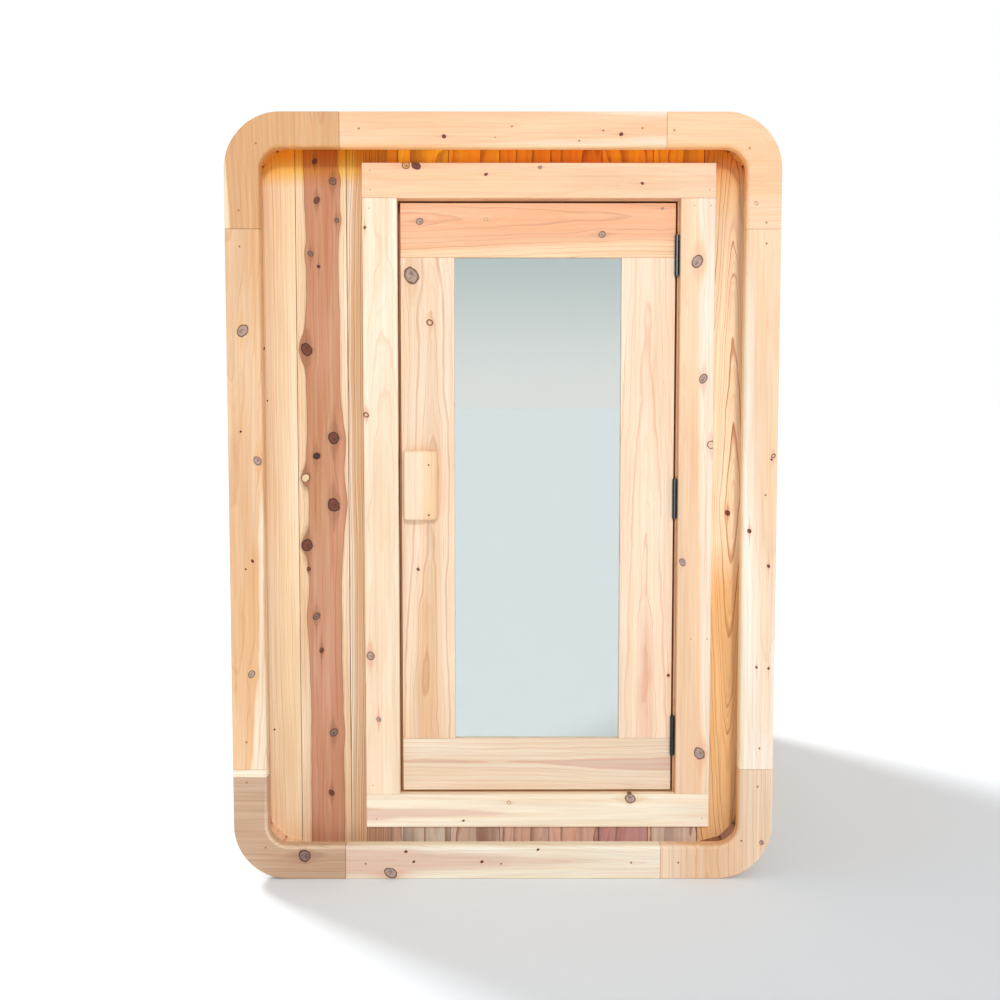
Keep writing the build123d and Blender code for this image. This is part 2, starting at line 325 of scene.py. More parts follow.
def surface(tree, inputs):
    """The Principled BSDF that ends a material."""
    shader = put(tree, "ShaderNodeBsdfPrincipled", inputs)
    put(tree, "ShaderNodeOutputMaterial", {"Surface": shader[0]})


# Knots. A pair or four is a ramp: where it starts and ends, then its values there

BLACK = (0.0, 0.0, 0.0, 1.0)
WHITE = (1.0, 1.0, 1.0, 1.0)
MIDDLE = 0.5
CHANCE_WAVE = (91.7, 0.0, 47.3)
CHANCE_SCALE = 43.76
KNOT_RAGGED = 0.40
KNOT_SHEAR = 0.20
KNOT_REACH = 0.6
KNOT_FLOW = 0.45
KNOT_PUSH = 0.9
KNOT_BORDER = (1.05, 0.90)
PITH_ASIDE = 0.25
PITH_SHADE = (0.85, 0.0, 0.0, 0.5)
PITH_SPOT = (0.26, 0.08, 0.0, 0.8)
RING_PACE = 9.0
RING_STRAY = 5.0
RING_TONE = 0.12
CRACK_STRAY = 0.7
CRACK_WIDTH = (0.16, 0.03)
CRACK_LENGTH = (0.9, 0.6, 0.0, 0.4)
BLOTCH_TONE = 1.1
HALO_ACROSS = 0.60
HALO_ALONG = 0.215
HALO_BORDER = (1.05, 0.5)
TAIL_REACH = 0.040
TAIL_RADII = 1.9
TAIL_FADE = (1.0, 0.2)
TAIL_WIDTH = (0.36, 0.06, 0.0, 1.4)
SWELL_ALONG = 0.33
SWELL_ACROSS = (4.0, 0.8, 0.0, 0.80)
CHAIN = {"Float": ("Warp", "Swell", "Mask", "Halo"), "Color": ("Paint",)}
KNOT_INPUTS = {
    "Vector": ("Grain", "Spot"),
    "Float": ("Radius", "Stretch", "Ragged", "Mottle", "Marks", "Ring Start", *CHAIN["Float"]),
    "Color": ("Core", "Edge", *CHAIN["Color"]),
}


def knot_group():
    """One knot, added to those before it: far is the distance from its middle in radii, sheared and ragged.

    The shear and the pith's place follow a chance drawn from the knot's own spot, the fraction of a fast
    sine. The mask is 1 inside far = 1. The paint darkens to its edge ring, its rings, its pith and a crack
    across it. The halo is a diamond drawn out along the grain, with a thin tail that runs on further. The
    warp moves a place across the grain towards the knot by its distance / (1 + (reach * drawn)^2)^2, with
    drawn longer along the grain, so that lines flow round the knot. The swell, by which heartwood reaches
    further out beside the knot, is a share of its radius / (1 + (flow * along)^2)^2 and fades across the
    grain.
    """
    tree, start = new_group("wood_knot", KNOT_INPUTS, CHAIN)
    radius = start["Radius"]
    chance = calc("FRACT", calc("SINE", vector("DOT_PRODUCT", start["Spot"], CHANCE_WAVE)) * CHANCE_SCALE)
    angle = chance * (2.0 * math.pi)
    cosine = calc("COSINE", angle)
    sine = calc("SINE", angle)
    aside, _, onward = split(vector("SUBTRACT", start["Grain"], start["Spot"]))
    across = aside / radius
    along = onward / (radius * start["Stretch"])
    lean = along * cosine * KNOT_SHEAR + across
    rise = across * sine * KNOT_SHEAR + along
    uneven = (start["Ragged"] - MIDDLE) * KNOT_RAGGED
    far = length_of(lean, rise) + uneven
    mask = ramp(far, *KNOT_BORDER)
    blotch = start["Mottle"] - MIDDLE
    from_pith = length_of(lean - cosine * PITH_ASIDE, rise - sine * PITH_ASIDE)
    pith = highest(ramp(from_pith, *PITH_SHADE), ramp(from_pith, *PITH_SPOT))
    rings = calc("SINE", from_pith * RING_PACE + blotch * RING_STRAY) * RING_TONE + RING_TONE
    cut = abs(lean * sine - rise * cosine + blotch * CRACK_STRAY)
    crack = ramp(cut, *CRACK_WIDTH) * ramp(far, *CRACK_LENGTH)
    dark = (highest(highest(rings, crack), pith) + blotch * BLOTCH_TONE) * start["Marks"]
    dark = highest(ramp(far, start["Ring Start"], KNOT_BORDER[1]), dark).clamped()
    tail = ramp(abs(onward) / (radius * TAIL_RADII + TAIL_REACH), *TAIL_FADE)
    tail = tail * ramp(abs(across), *TAIL_WIDTH) * start["Marks"]
    diamond = abs(across) * HALO_ACROSS + abs(along) * HALO_ALONG + uneven
    halo = highest(ramp(diamond, *HALO_BORDER), tail)
    drawn = length_of(across, along * KNOT_FLOW)
    push = aside * -KNOT_PUSH / squared(squared(drawn * KNOT_REACH) + 1.0)
    swell = radius * ramp(abs(across), *SWELL_ACROSS) / squared(squared(along * SWELL_ALONG) + 1.0)
    put(tree, "NodeGroupOutput", {
        "Warp": start["Warp"] + push,
        "Swell": highest(start["Swell"], swell),
        "Mask": highest(start["Mask"], mask),
        "Halo": highest(start["Halo"], halo),
        "Paint": mix(mask, start["Paint"], mix(dark, start["Core"], start["Edge"])),
    })
    return tree


# Wood. Scales are across, through and along the grain; a fade is a gain and an offset

SEED_STEP = 7.31
SWAY_SCALE = (2.2, 2.2, 1.3)
SWAY_GAIN = 4.0
RIPPLE_SCALE = (28.0, 28.0, 7.0)
BEAT_PACE = 0.45
BEAT_STRAY = 1.6
BEAT_TONE = 0.16
LINE_END = 0.96
FINE_LINES = 3.0
FINE_START = 0.45
FINE_END = 0.9
FINE_TONE = 0.28
STREAK_SCALE = (42.0, 42.0, 1.7)
STREAK_GAIN = 3.0
STREAK_TONE = 0.8
STREAK_NOISE = (3.0, 0.6)
LINE_FADE = (1.8, -0.05)
HALO_FADE = (1.2, 0.1)
FIBRE_SCALE = (430.0, 430.0, 7.0)
FIBRE_TONE = 0.20
LEAST_TONE = 0.82
PATCH_SCALE = (15.0, 15.0, 2.2)
PATCH_COLOUR = (0.30, 0.62, 1.0)
THREAD_SCALE = (130.0, 130.0, 2.4)
THREAD = 0.6
HEART_BORDER = (0.0022, 0.0003)
WOOD_ROUGH = 0.46
FIBRE_ROUGH = 0.18
LINE_ROUGH = -0.08
WOOD_INPUTS = {
    "Vector": ("Grain", "Pith"),
    "Float": (
        "Seed", "Taper", "Bow", "Sway", "Ring Width", "Line Strength", "Line Share", "Heart Radius",
        "Heart Softness", "Heart Edge", "Streak", "Patch", "Halo Strength", *CHAIN["Float"],
    ),
    "Color": ("Sapwood", "Heartwood", "Line Colour", "Halo Colour", "Tint", *CHAIN["Color"]),
}
WOOD_OUTPUTS = {"Color": ("Color",), "Float": ("Roughness", "Height")}


def wood_group():
    """Solid softwood: growth rings about a swaying pith line, heartwood inside a radius, streaks and fibres.

    radius is the distance from the pith line, which the knots' warp shifts across the grain, plus the taper
    along the grain, a bow that grows away from the board's middle, and a ripple. A ring's line is a rise over
    the last share of the fraction of radius / ring width and a sharp fall; finer lines run between.
    Heartwood is a smooth step of radius at the heart radius, moved out by the knots' swell and by streaks
    drawn out along the grain, which also shade it, and each ring has a tone of its own. Slow patches and
    narrow threads of noise make the colour warmer or paler.
    """
    tree, start = new_group("softwood", WOOD_INPUTS, WOOD_OUTPUTS)
    seed_shift = put(tree, "ShaderNodeCombineXYZ", {2: start["Seed"] * SEED_STEP})[0]
    place = vector("ADD", start["Grain"], seed_shift)
    slow = vector("SUBTRACT", noise(place, SWAY_SCALE)["Color"], (MIDDLE, MIDDLE, MIDDLE))
    sway = vector("SCALE", slow, start["Sway"] * SWAY_GAIN)
    across, through, along = split(vector("ADD", vector("SUBTRACT", start["Grain"], start["Pith"]), sway))
    ripple = (noise(place, RIPPLE_SCALE)[0] - MIDDLE) * start["Ring Width"]
    radius = length_of(across + start["Warp"], through) + along * start["Taper"]
    radius = radius + abs(along) * start["Bow"] + ripple
    count = radius / start["Ring Width"]
    beat_inputs = {"W": count * BEAT_PACE + start["Seed"], "Scale": 1.0, "Detail": 1.0}
    beat = put(tree, "ShaderNodeTexNoise", beat_inputs, noise_dimensions="1D")[0]
    count = beat * BEAT_STRAY + count
    year = calc("FRACT", count)
    line = ramp(year, 1.0 - start["Line Share"], LINE_END) * ramp(year, 1.0, LINE_END)
    part = calc("FRACT", count * FINE_LINES)
    finer = ramp(part, FINE_START, FINE_END) * ramp(part, 1.0, FINE_END, 0.0, FINE_TONE)
    drawn = noise(place, STREAK_SCALE, *STREAK_NOISE)[0]
    fade = (drawn * LINE_FADE[0] + LINE_FADE[1]).clamped()
    line = (highest(line, finer) * fade * start["Line Strength"]).clamped()
    core = radius - start["Swell"]
    inner = start["Heart Radius"] - start["Heart Softness"]
    outer = start["Heart Radius"] + start["Heart Softness"]
    streak = (drawn - MIDDLE) * start["Streak"]
    heart = (streak * STREAK_GAIN + ramp(core, outer, inner)).clamped()
    fibre = noise(place, FIBRE_SCALE)[0]
    tone = beat * BEAT_TONE + fibre * FIBRE_TONE + streak * STREAK_TONE + LEAST_TONE
    base = vector("SCALE", mix(heart, start["Sapwood"], start["Heartwood"]), tone)
    patch = (noise(place, PATCH_SCALE)[0] - MIDDLE) * start["Patch"]
    thread = (noise(place, THREAD_SCALE)[0] - MIDDLE) * THREAD
    drift = vector("ADD", vector("SCALE", PATCH_COLOUR, patch + thread), WHITE[:3])
    base = mix(1.0, base, drift, "MULTIPLY")
    base = mix(line, base, start["Line Colour"])
    border = ramp(abs(core - start["Heart Radius"]), *HEART_BORDER) * start["Heart Edge"]
    base = mix(border, base, start["Line Colour"])
    smear = (drawn * HALO_FADE[0] + HALO_FADE[1]).clamped()
    halo = (start["Halo"] * smear * start["Halo Strength"]).clamped()
    base = mix(halo, base, start["Halo Colour"])
    base = mix(start["Mask"], base, start["Paint"])
    put(tree, "NodeGroupOutput", {
        "Color": mix(1.0, base, start["Tint"], "MULTIPLY"),
        "Roughness": fibre * FIBRE_ROUGH + line * LINE_ROUGH + WOOD_ROUGH,
        "Height": fibre,
    })
    return tree


GRAIN = "grain"
TINT = "tint"
WOOD_BUMP = (0.6, 0.00035)
WOOD_SHEEN = 0.35
RING_START = 0.64
# A kind's core and edge colours, stretch along the grain, strength of its marks and start of its edge ring
KNOT_KINDS = {
    "dark": ("knot_dark", "knot_edge", 1.12, 1.0, RING_START),
    "slate": ("knot_slate", "knot_edge", 1.0, 1.0, RING_START),
    "grey": ("knot_grey", "knot_rim", 1.12, 1.0, RING_START),
    "pin": ("knot_edge", "knot_edge", 1.0, 1.0, RING_START),
    "plug": ("plug", "knot_rim", 1.0, 0.12, RING_START),
    "ring": ("peach", "knot_ring", 1.0, 0.3, 0.14),
    "amber": ("amber", "knot_edge", 1.1, 1.0, RING_START),
}
# What a board's figure has when it names nothing else
FIGURE = {
    "sap": "pale", "heart": "peach", "line": "brown", "halo": "salmon", "stain": 0.5, "pith": (0.0, 0.05),
    "seed": 0.0, "taper": 0.0, "bow": 0.0, "sway": 0.010, "ring": 0.010, "lines": 0.3, "share": 0.3,
    "radius": 0.06, "soft": 0.02, "edge": 0.0, "streak": 0.35, "knots": (), "scatter": False,
    "tone": (1.0, 1.0, 1.0), "patch": 0.6,
}
FIGURE_VALUES = {
    "Seed": "seed", "Taper": "taper", "Bow": "bow", "Sway": "sway", "Ring Width": "ring",
    "Line Strength": "lines", "Line Share": "share", "Heart Radius": "radius", "Heart Softness": "soft",
    "Heart Edge": "edge", "Streak": "streak", "Patch": "patch", "Halo Strength": "stain",
}
FIGURE_SHADES = {"Sapwood": "sap", "Heartwood": "heart", "Line Colour": "line", "Halo Colour": "halo"}
SCATTER_CELL = (0.13, 1.0, 0.42)
SCATTER_CHANCE = 0.8
SCATTER_RADIUS = (0.0015, 0.010)
RAGGED_SCALE = (75.0, 0.0, 60.0)
MOTTLE_SCALE = (230.0, 0.0, 190.0)


def grain_source(tree, axis):
    """Place in the grain, as across, through and along: an attribute, or Object axes for a kept node."""
    if axis is None:
        return put(tree, "ShaderNodeAttribute", attribute_name=GRAIN)["Vector"]
    parts = split(object_place(tree))
    order = {X: (2, 1, 0), Z: (0, 1, 2)}[axis]
    return put(tree, "ShaderNodeCombineXYZ", {i: parts[k] for i, k in enumerate(order)})[0]


def knot_chain(tree, place, figure):
    """The board's knots, each added to those before it; scattered ones sit at points of a Voronoi texture."""
    chain = {"Warp": 0.0, "Swell": 0.0, "Mask": 0.0, "Halo": 0.0, "Paint": BLACK}
    spots = [((across, 0.0, along), radius, kind) for across, along, radius, kind in figure["knots"]]
    flat = vector("MULTIPLY", place, (1.0, 0.0, 1.0))
    if figure["scatter"]:
        cells = {"Vector": vector("DIVIDE", flat, SCATTER_CELL), "Scale": 1.0, "Randomness": SCATTER_CHANCE}
        scatter = put(tree, "ShaderNodeTexVoronoi", cells)
        spot = vector("MULTIPLY", scatter["Position"], (SCATTER_CELL[0], 0.0, SCATTER_CELL[2]))
        chance = put(tree, "ShaderNodeSeparateColor", {0: scatter["Color"]})[0]
        spots.append((spot, squared(chance) * SCATTER_RADIUS[1] + SCATTER_RADIUS[0], "dark"))
    if not spots:
        return chain
    ragged = noise(flat, RAGGED_SCALE, 1.0)[0]
    mottle = noise(flat, MOTTLE_SCALE)[0]
    group = shared_group("wood_knot", knot_group)
    for spot, radius, kind in spots:
        core, edge, stretch, marks, ring_start = KNOT_KINDS[kind]
        inputs = {
            "Grain": flat, "Spot": spot, "Radius": radius, "Stretch": stretch, "Core": shade(core),
            "Edge": shade(edge), "Ragged": ragged, "Mottle": mottle, "Marks": marks, "Ring Start": ring_start,
            **chain,
        }
        made = put(tree, "ShaderNodeGroup", inputs, node_tree=group)
        chain = {key: made[key] for key in chain}
    return chain


def wood(name, centre=(0.0, 0.0, 0.0), axis=None, tinted=False, **changes):
    """A wood material: its knots in a chain, then the softwood group, into a Principled BSDF with bump.

    centre is the board's middle across the grain, its face and its middle along the grain, where its figure
    starts. A knot is (across, along, radius, kind), in metres.
    """
    figure = {**FIGURE, **changes}
    material, tree = new_material(name)
    place = grain_source(tree, axis)
    tint = (*figure["tone"], 1.0)
    if tinted:
        tint = mix(1.0, put(tree, "ShaderNodeAttribute", attribute_name=TINT)["Color"], tint, "MULTIPLY")
    inputs = {
        "Grain": place, "Tint": tint,
        "Pith": (centre[0] + figure["pith"][0], centre[1] + figure["pith"][1], centre[2]),
        **{label: figure[key] for label, key in FIGURE_VALUES.items()},
        **{label: shade(figure[key]) for label, key in FIGURE_SHADES.items()},
        **knot_chain(tree, place, figure),
    }
    made = put(tree, "ShaderNodeGroup", inputs, node_tree=shared_group("softwood", wood_group))
    surface(tree, {
        "Base Color": made["Color"], "Roughness": made["Roughness"],
        "Normal": bumped(made["Height"], *WOOD_BUMP), "Specular IOR Level": WOOD_SHEEN,
    })
    return material


METAL_BUMP = 0.5
METAL_ROUGH = 0.25


def mottled_metal(name, colour, scales, swing, rough, metallic, relief, painted_light=None):
    """A metal: noise swings its tone, roughens it and raises a fine bump; a painted highlight may go over its
    colour.
    """
    material, tree = new_material(name)
    place = object_place(tree)
    cloud = noise(place, scales, 3.0)[0]
    tone = vector("SCALE", colour[:3], cloud * swing + (1.0 - swing / 2))
    surface(tree, {
        "Base Color": painted_light(place, cloud, tone) if painted_light else tone, "Roughness": cloud * METAL_ROUGH + rough,
        "Metallic": metallic, "Normal": bumped(cloud, METAL_BUMP, relief),
    })
    return material


def dress(node, material):
    """Give a kept solid its material."""
    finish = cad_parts[node].data.materials
    finish.clear()
    finish.append(material)


# Surfaces


def band(rows, count):
    """Four-sided faces between rows of points, where each row closes on itself."""
    row = np.arange(rows - 1)[:, None] * count
    here = np.arange(count)[None, :]
    after = (here + 1) % count
    corners = [row + here, row + after, row + count + after, row + count + here]
    return np.stack(corners, axis=-1).reshape(-1, 4)


def unit_rows(axis, rows):
    """The unit vector of an axis, once per row."""
    return np.tile(np.eye(3)[axis], (rows, 1))


def carried(sections, spots, rights, outs):
    """A closed bar: an outline (rows, points, 2) carried along a path, shut by a flat face at each end.

    A point is spot + first * right + second * out. Faces turn outwards by the sign of the outline's area
    times the volume of right, out and the path's direction.
    """
    sideways = sections[:, :, :1] * rights[:, None, :]
    outwards = sections[:, :, 1:] * outs[:, None, :]
    points = spots[:, None, :] + sideways + outwards
    rows, count = sections.shape[:2]
    quads = band(rows, count)
    caps = [np.arange(count)[::-1], np.arange(count) + (rows - 1) * count]
    middle = sections[rows // 2]
    turned = np.roll(middle, -1, axis=0)
    area = np.sum(middle[:, 0] * turned[:, 1] - turned[:, 0] * middle[:, 1])
    step = spots[1] - spots[0] + spots[-1] - spots[-2]
    if area * np.dot(np.cross(rights[0] + rights[-1], outs[0]), step) < 0:
        quads = quads[:, ::-1]
        caps = [cap[::-1] for cap in caps]
    return {"points": points.reshape(-1, 3), "quads": quads, "caps": caps}


def eased_outline(low, high, radii):
    """A rectangle from low to high; its corners are quarter circles, each with a short straight lead."""
    low = np.asarray(low, dtype=float)
    high = np.asarray(high, dtype=float)
    radii = np.maximum(np.asarray(radii, dtype=float), LEAST_EASE)
    signs = np.array([[1, 1], [-1, 1], [-1, -1], [1, -1]])
    centres = np.where(signs > 0, high - radii[:, None], low + radii[:, None])
    turns = np.arange(4)[:, None] * math.pi / 2 + np.linspace(0, math.pi / 2, ARC_STEPS + 1)[None, :]
    arcs = centres[:, None, :] + radii[:, None, None] * np.stack([np.cos(turns), np.sin(turns)], axis=-1)
    ends = turns[:, [0, -1]]
    leads = np.stack([-np.sin(ends), np.cos(ends)], axis=-1) * SUPPORT
    before = arcs[:, :1] - leads[:, :1]
    beyond = arcs[:, -1:] + leads[:, 1:]
    return np.concatenate([before, arcs, beyond], axis=1).reshape(-1, 2)


def eased_ends(low, high, radii, length):
    """Outlines and distances for a bar whose ends step in steeply: its end outlines are drawn in."""
    depth = sizes().joint_depth
    width = sizes().joint_width
    full = eased_outline(low, high, radii)
    drawn = eased_outline(np.asarray(low) + depth, np.asarray(high) - depth, np.asarray(radii) - depth)
    return np.stack([drawn, full, full, drawn]), np.array([0.0, width, length - width, length])


def grain_along(points, axis):
    """Place in the grain: across, through and along, for grain that runs along X or Z on an upright board."""
    order = {X: [2, 1, 0], Z: [0, 1, 2]}[axis]
    return points[:, order]


def straight_board(low, high, along, radii):
    """A board that fills low to high: an eased rectangle across X or Z by Y, carried along the other axis.

    radii are for the rear high, rear low, front low and front high edges, low and high across the grain.
    """
    across = X if along == Z else Z
    corners = (low[across], low[Y]), (high[across], high[Y])
    sections, steps = eased_ends(*corners, radii, high[along] - low[along])
    rows = len(steps)
    spots = np.zeros((rows, 3))
    spots[:, along] = low[along] + steps
    part = carried(sections, spots, unit_rows(across, rows), unit_rows(Y, rows))
    part["grain"] = grain_along(part["points"], along)
    return part


def corner_block(low, high, side, rise, face, radii, along):
    """A rim corner: the rim's section carried down one leg, round a quarter circle and along the other leg.

    side and rise are the signs of the corner in X and Z. The section's first axis runs inwards from the outer
    edge, so the inner edge is concentric.
    """
    outer_x = high[X] if side > 0 else low[X]
    outer_z = high[Z] if rise > 0 else low[Z]
    leg = high[X] - low[X]
    round_radius = sizes().rim_radius
    turn = np.linspace(0, math.pi / 2, CORNER_STEPS + 1)
    middle_x = outer_x - side * round_radius
    middle_z = outer_z - rise * round_radius
    arc_x = middle_x + side * round_radius * np.cos(turn)
    arc_z = middle_z + rise * round_radius * np.sin(turn)
    depth = sizes().joint_depth
    steps = np.array([leg, leg - sizes().joint_width])
    path_x = np.concatenate([np.full(2, outer_x), arc_x, outer_x - side * steps[::-1]])
    path_z = np.concatenate([outer_z - rise * steps, arc_z, np.full(2, outer_z)])
    in_x = np.concatenate([np.full(2, -side), -side * np.cos(turn), np.zeros(2)])
    in_z = np.concatenate([np.zeros(2), -rise * np.sin(turn), np.full(2, -rise)])
    rows = len(path_x)
    full = eased_outline((0.0, low[Y]), (face, high[Y]), radii)
    drawn = eased_outline((depth, low[Y] + depth), (face - depth, high[Y] - depth), np.asarray(radii) - depth)
    sections = np.tile(full, (rows, 1, 1))
    sections[[0, -1]] = drawn
    spots = np.stack([path_x, np.zeros(rows), path_z], axis=1)
    rights = np.stack([in_x, np.zeros(rows), in_z], axis=1)
    part = carried(sections, spots, rights, unit_rows(Y, rows))
    part["grain"] = grain_along(part["points"], along)
    return part


def wall_board(left, right, front, back, low_line, high_line, slot_left, slot_right, levels, bends):
    """An upright wall board: its outline in X and Y carried up from low_line(x) to high_line(x).

    The outline's long edges step in by the slots, as deep as the groove, which leaves a narrow dark line at a
    joint. Its faces carry points at the bends of the barrel's corners, so that its ends follow them, and rows
    at the given levels, so that its tint can change up the board.
    """
    deep = sizes().slot_depth
    ends = [left + slot_left, right - slot_right]
    bends = np.concatenate([-bends[::-1], bends])
    run = np.union1d(np.linspace(*ends, WALL_STEPS + 1), bends[(bends > ends[0]) & (bends < ends[1])])
    face_x = np.concatenate([[left, left + slot_left], run, [right - slot_right, right]])
    inset = np.concatenate([[deep, deep], np.zeros(len(run)), [deep, deep]])
    outline_x = np.concatenate([face_x, face_x[::-1]])
    outline_y = np.concatenate([front + inset, back - inset])
    low = low_line(outline_x)
    high = high_line(outline_x)
    rows = np.clip(np.concatenate([[-np.inf], levels, [np.inf]])[:, None], low, high)
    count = len(outline_x)
    tiled = [np.tile(outline_x, (len(rows), 1)), np.tile(outline_y, (len(rows), 1)), rows]
    points = np.stack(tiled, axis=-1).reshape(-1, 3)
    sides = band(len(rows), count)
    ladder = np.arange(count // 2 - 1)
    strip = np.stack([ladder, count - 1 - ladder, count - 2 - ladder, ladder + 1], axis=-1)
    quads = np.concatenate([sides, strip, strip[:, ::-1] + count * (len(rows) - 1)])
    return {"points": points, "quads": quads, "caps": [], "grain": grain_along(points, Z)}


def barrel_outline():
    """Inner and outer corners of the barrel's section, counter-clockwise from the foot of its right corner.

    Each inner corner is cut by staves at one turn, half a right angle and the complement of the turn. An
    outer corner is its inner one plus thickness * (n + m) / (1 + n.m), with n and m its edges' normals.
    """
    side_low, side_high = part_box("right_side")
    floor_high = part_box("floor")[1]
    roof_low, roof_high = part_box("roof")
    thick = side_high[X] - side_low[X]
    half = side_low[X]
    low = floor_high[Z]
    high = roof_low[Z]
    turn = sizes().facet_turn
    width = sizes().facet_width
    reach = half - (roof_high[X] - thick * math.tan(turn / 2))
    near = reach - width * math.cos(turn)
    lift = width * math.sin(turn)
    steps = np.array([[reach, 0.0], [near, lift], [lift, near], [0.0, reach]])
    foot_right = np.array([half, low]) + steps * [-1, 1]
    head_right = np.array([half, high]) + steps[::-1] * [-1, -1]
    head_left = np.array([-half, high]) + steps * [1, -1]
    foot_left = np.array([-half, low]) + steps[::-1] * [1, 1]
    inner = np.concatenate([foot_right, head_right, head_left, foot_left])
    edge = np.roll(inner, -1, axis=0) - inner
    normal = np.stack([edge[:, 1], -edge[:, 0]], axis=1) / np.linalg.norm(edge, axis=1)[:, None]
    before = np.roll(normal, 1, axis=0)
    outer = inner + thick * (normal + before) / (1 + np.sum(normal * before, axis=1))[:, None]
    return inner, outer


STAVE_LIP = 0.055
LIP_FADE = 0.01


def stave_bars(inner, outer, edge, count, y_low, y_high, ease):
    """Staves of one face of the barrel: its strip cut into equal parts, each chamfered and carried along Y.

    Rows just behind the lip, the front part inside the rim, let the lip have a tint of its own, a painted
    shade.
    """
    follow = (edge + 1) % len(inner)
    shares = np.linspace(0, 1, count + 1)[:, None]
    inside = inner[edge] + shares * (inner[follow] - inner[edge])
    outside = outer[edge] + shares * (outer[follow] - outer[edge])
    corners = np.stack([inside[:-1], outside[:-1], outside[1:], inside[1:]], axis=1)
    to_next = np.roll(corners, -1, axis=1) - corners
    to_next /= np.linalg.norm(to_next, axis=2, keepdims=True)
    to_last = np.roll(corners, 1, axis=1) - corners
    to_last /= np.linalg.norm(to_last, axis=2, keepdims=True)
    outlines = np.stack([corners + ease * to_last, corners + ease * to_next], axis=2).reshape(count, 8, 2)
    direction = (inner[follow] - inner[edge]) / np.linalg.norm(inner[follow] - inner[edge])
    normal = np.array([direction[1], -direction[0]])
    depths = np.array([y_low, y_low + STAVE_LIP, y_low + STAVE_LIP + LIP_FADE, y_high])
    rows = len(depths)
    spots = np.stack([np.zeros(rows), depths, np.zeros(rows)], axis=1)
    bars = []
    for outline, start, stop in zip(outlines, inside[:-1], inside[1:]):
        bar = carried(np.stack([outline] * rows), spots, unit_rows(X, rows), unit_rows(Z, rows))
        flat = bar["points"][:, [X, Z]] - (start + stop) / 2
        bar["grain"] = np.stack([flat @ direction, flat @ normal, bar["points"][:, Y]], axis=1)
        bars.append(bar)
    return bars


def add_attribute(mesh, name, kind, key, values):
    """One value per point of a mesh."""
    mesh.attributes.new(name, kind, "POINT").data.foreach_set(key, values.astype(np.float32).ravel())


def add_piece(name, parts, materials, body, nodes=()):
    """One object from its parts, with their place in the grain and tint as attributes, riding on a body."""
    starts = np.cumsum([0] + [len(part["points"]) for part in parts])
    points = np.concatenate([part["points"] for part in parts])
    faces = []
    finish = []
    for part, start in zip(parts, starts):
        made = (part["quads"] + start).tolist() + [(cap + start).tolist() for cap in part["caps"]]
        faces.extend(made)
        finish.extend([part.get("material", 0)] * len(made))
    mesh = bpy.data.meshes.new(name)
    mesh.from_pydata(points.tolist(), [], faces)
    if all("grain" in part for part in parts):
        grain = np.concatenate([part["grain"] for part in parts])
        add_attribute(mesh, GRAIN, "FLOAT_VECTOR", "vector", grain)
    tints = [np.broadcast_to(part.get("tint", WHITE[:3]), (len(part["points"]), 3)) for part in parts]
    tints = np.pad(np.concatenate(tints), ((0, 0), (0, 1)), constant_values=1.0)
    add_attribute(mesh, TINT, "FLOAT_COLOR", "color", tints)
    for material in materials:
        mesh.materials.append(material)
    mesh.polygons.foreach_set("material_index", np.array(finish, dtype=np.int32))
    mesh.polygons.foreach_set("use_smooth", np.ones(len(faces), dtype=bool))
    mesh.set_sharp_from_angle(angle=SMOOTH_ANGLE)
    mesh.update()
    piece = bpy.data.objects.new(name, mesh)
    bpy.context.collection.objects.link(piece)
    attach(piece, body)
    if nodes:
        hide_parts(*nodes)
    return piece


def centre_of(node, along):
    """Middle of a node across its grain, its front face and its middle along the grain."""
    low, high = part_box(node)
    across = X if along == Z else Z
    return ((low[across] + high[across]) / 2, low[Y], (low[along] + high[along]) / 2)


# Figures of the boards that face the camera: grain direction and wood. Knots are across, along, radius, kind

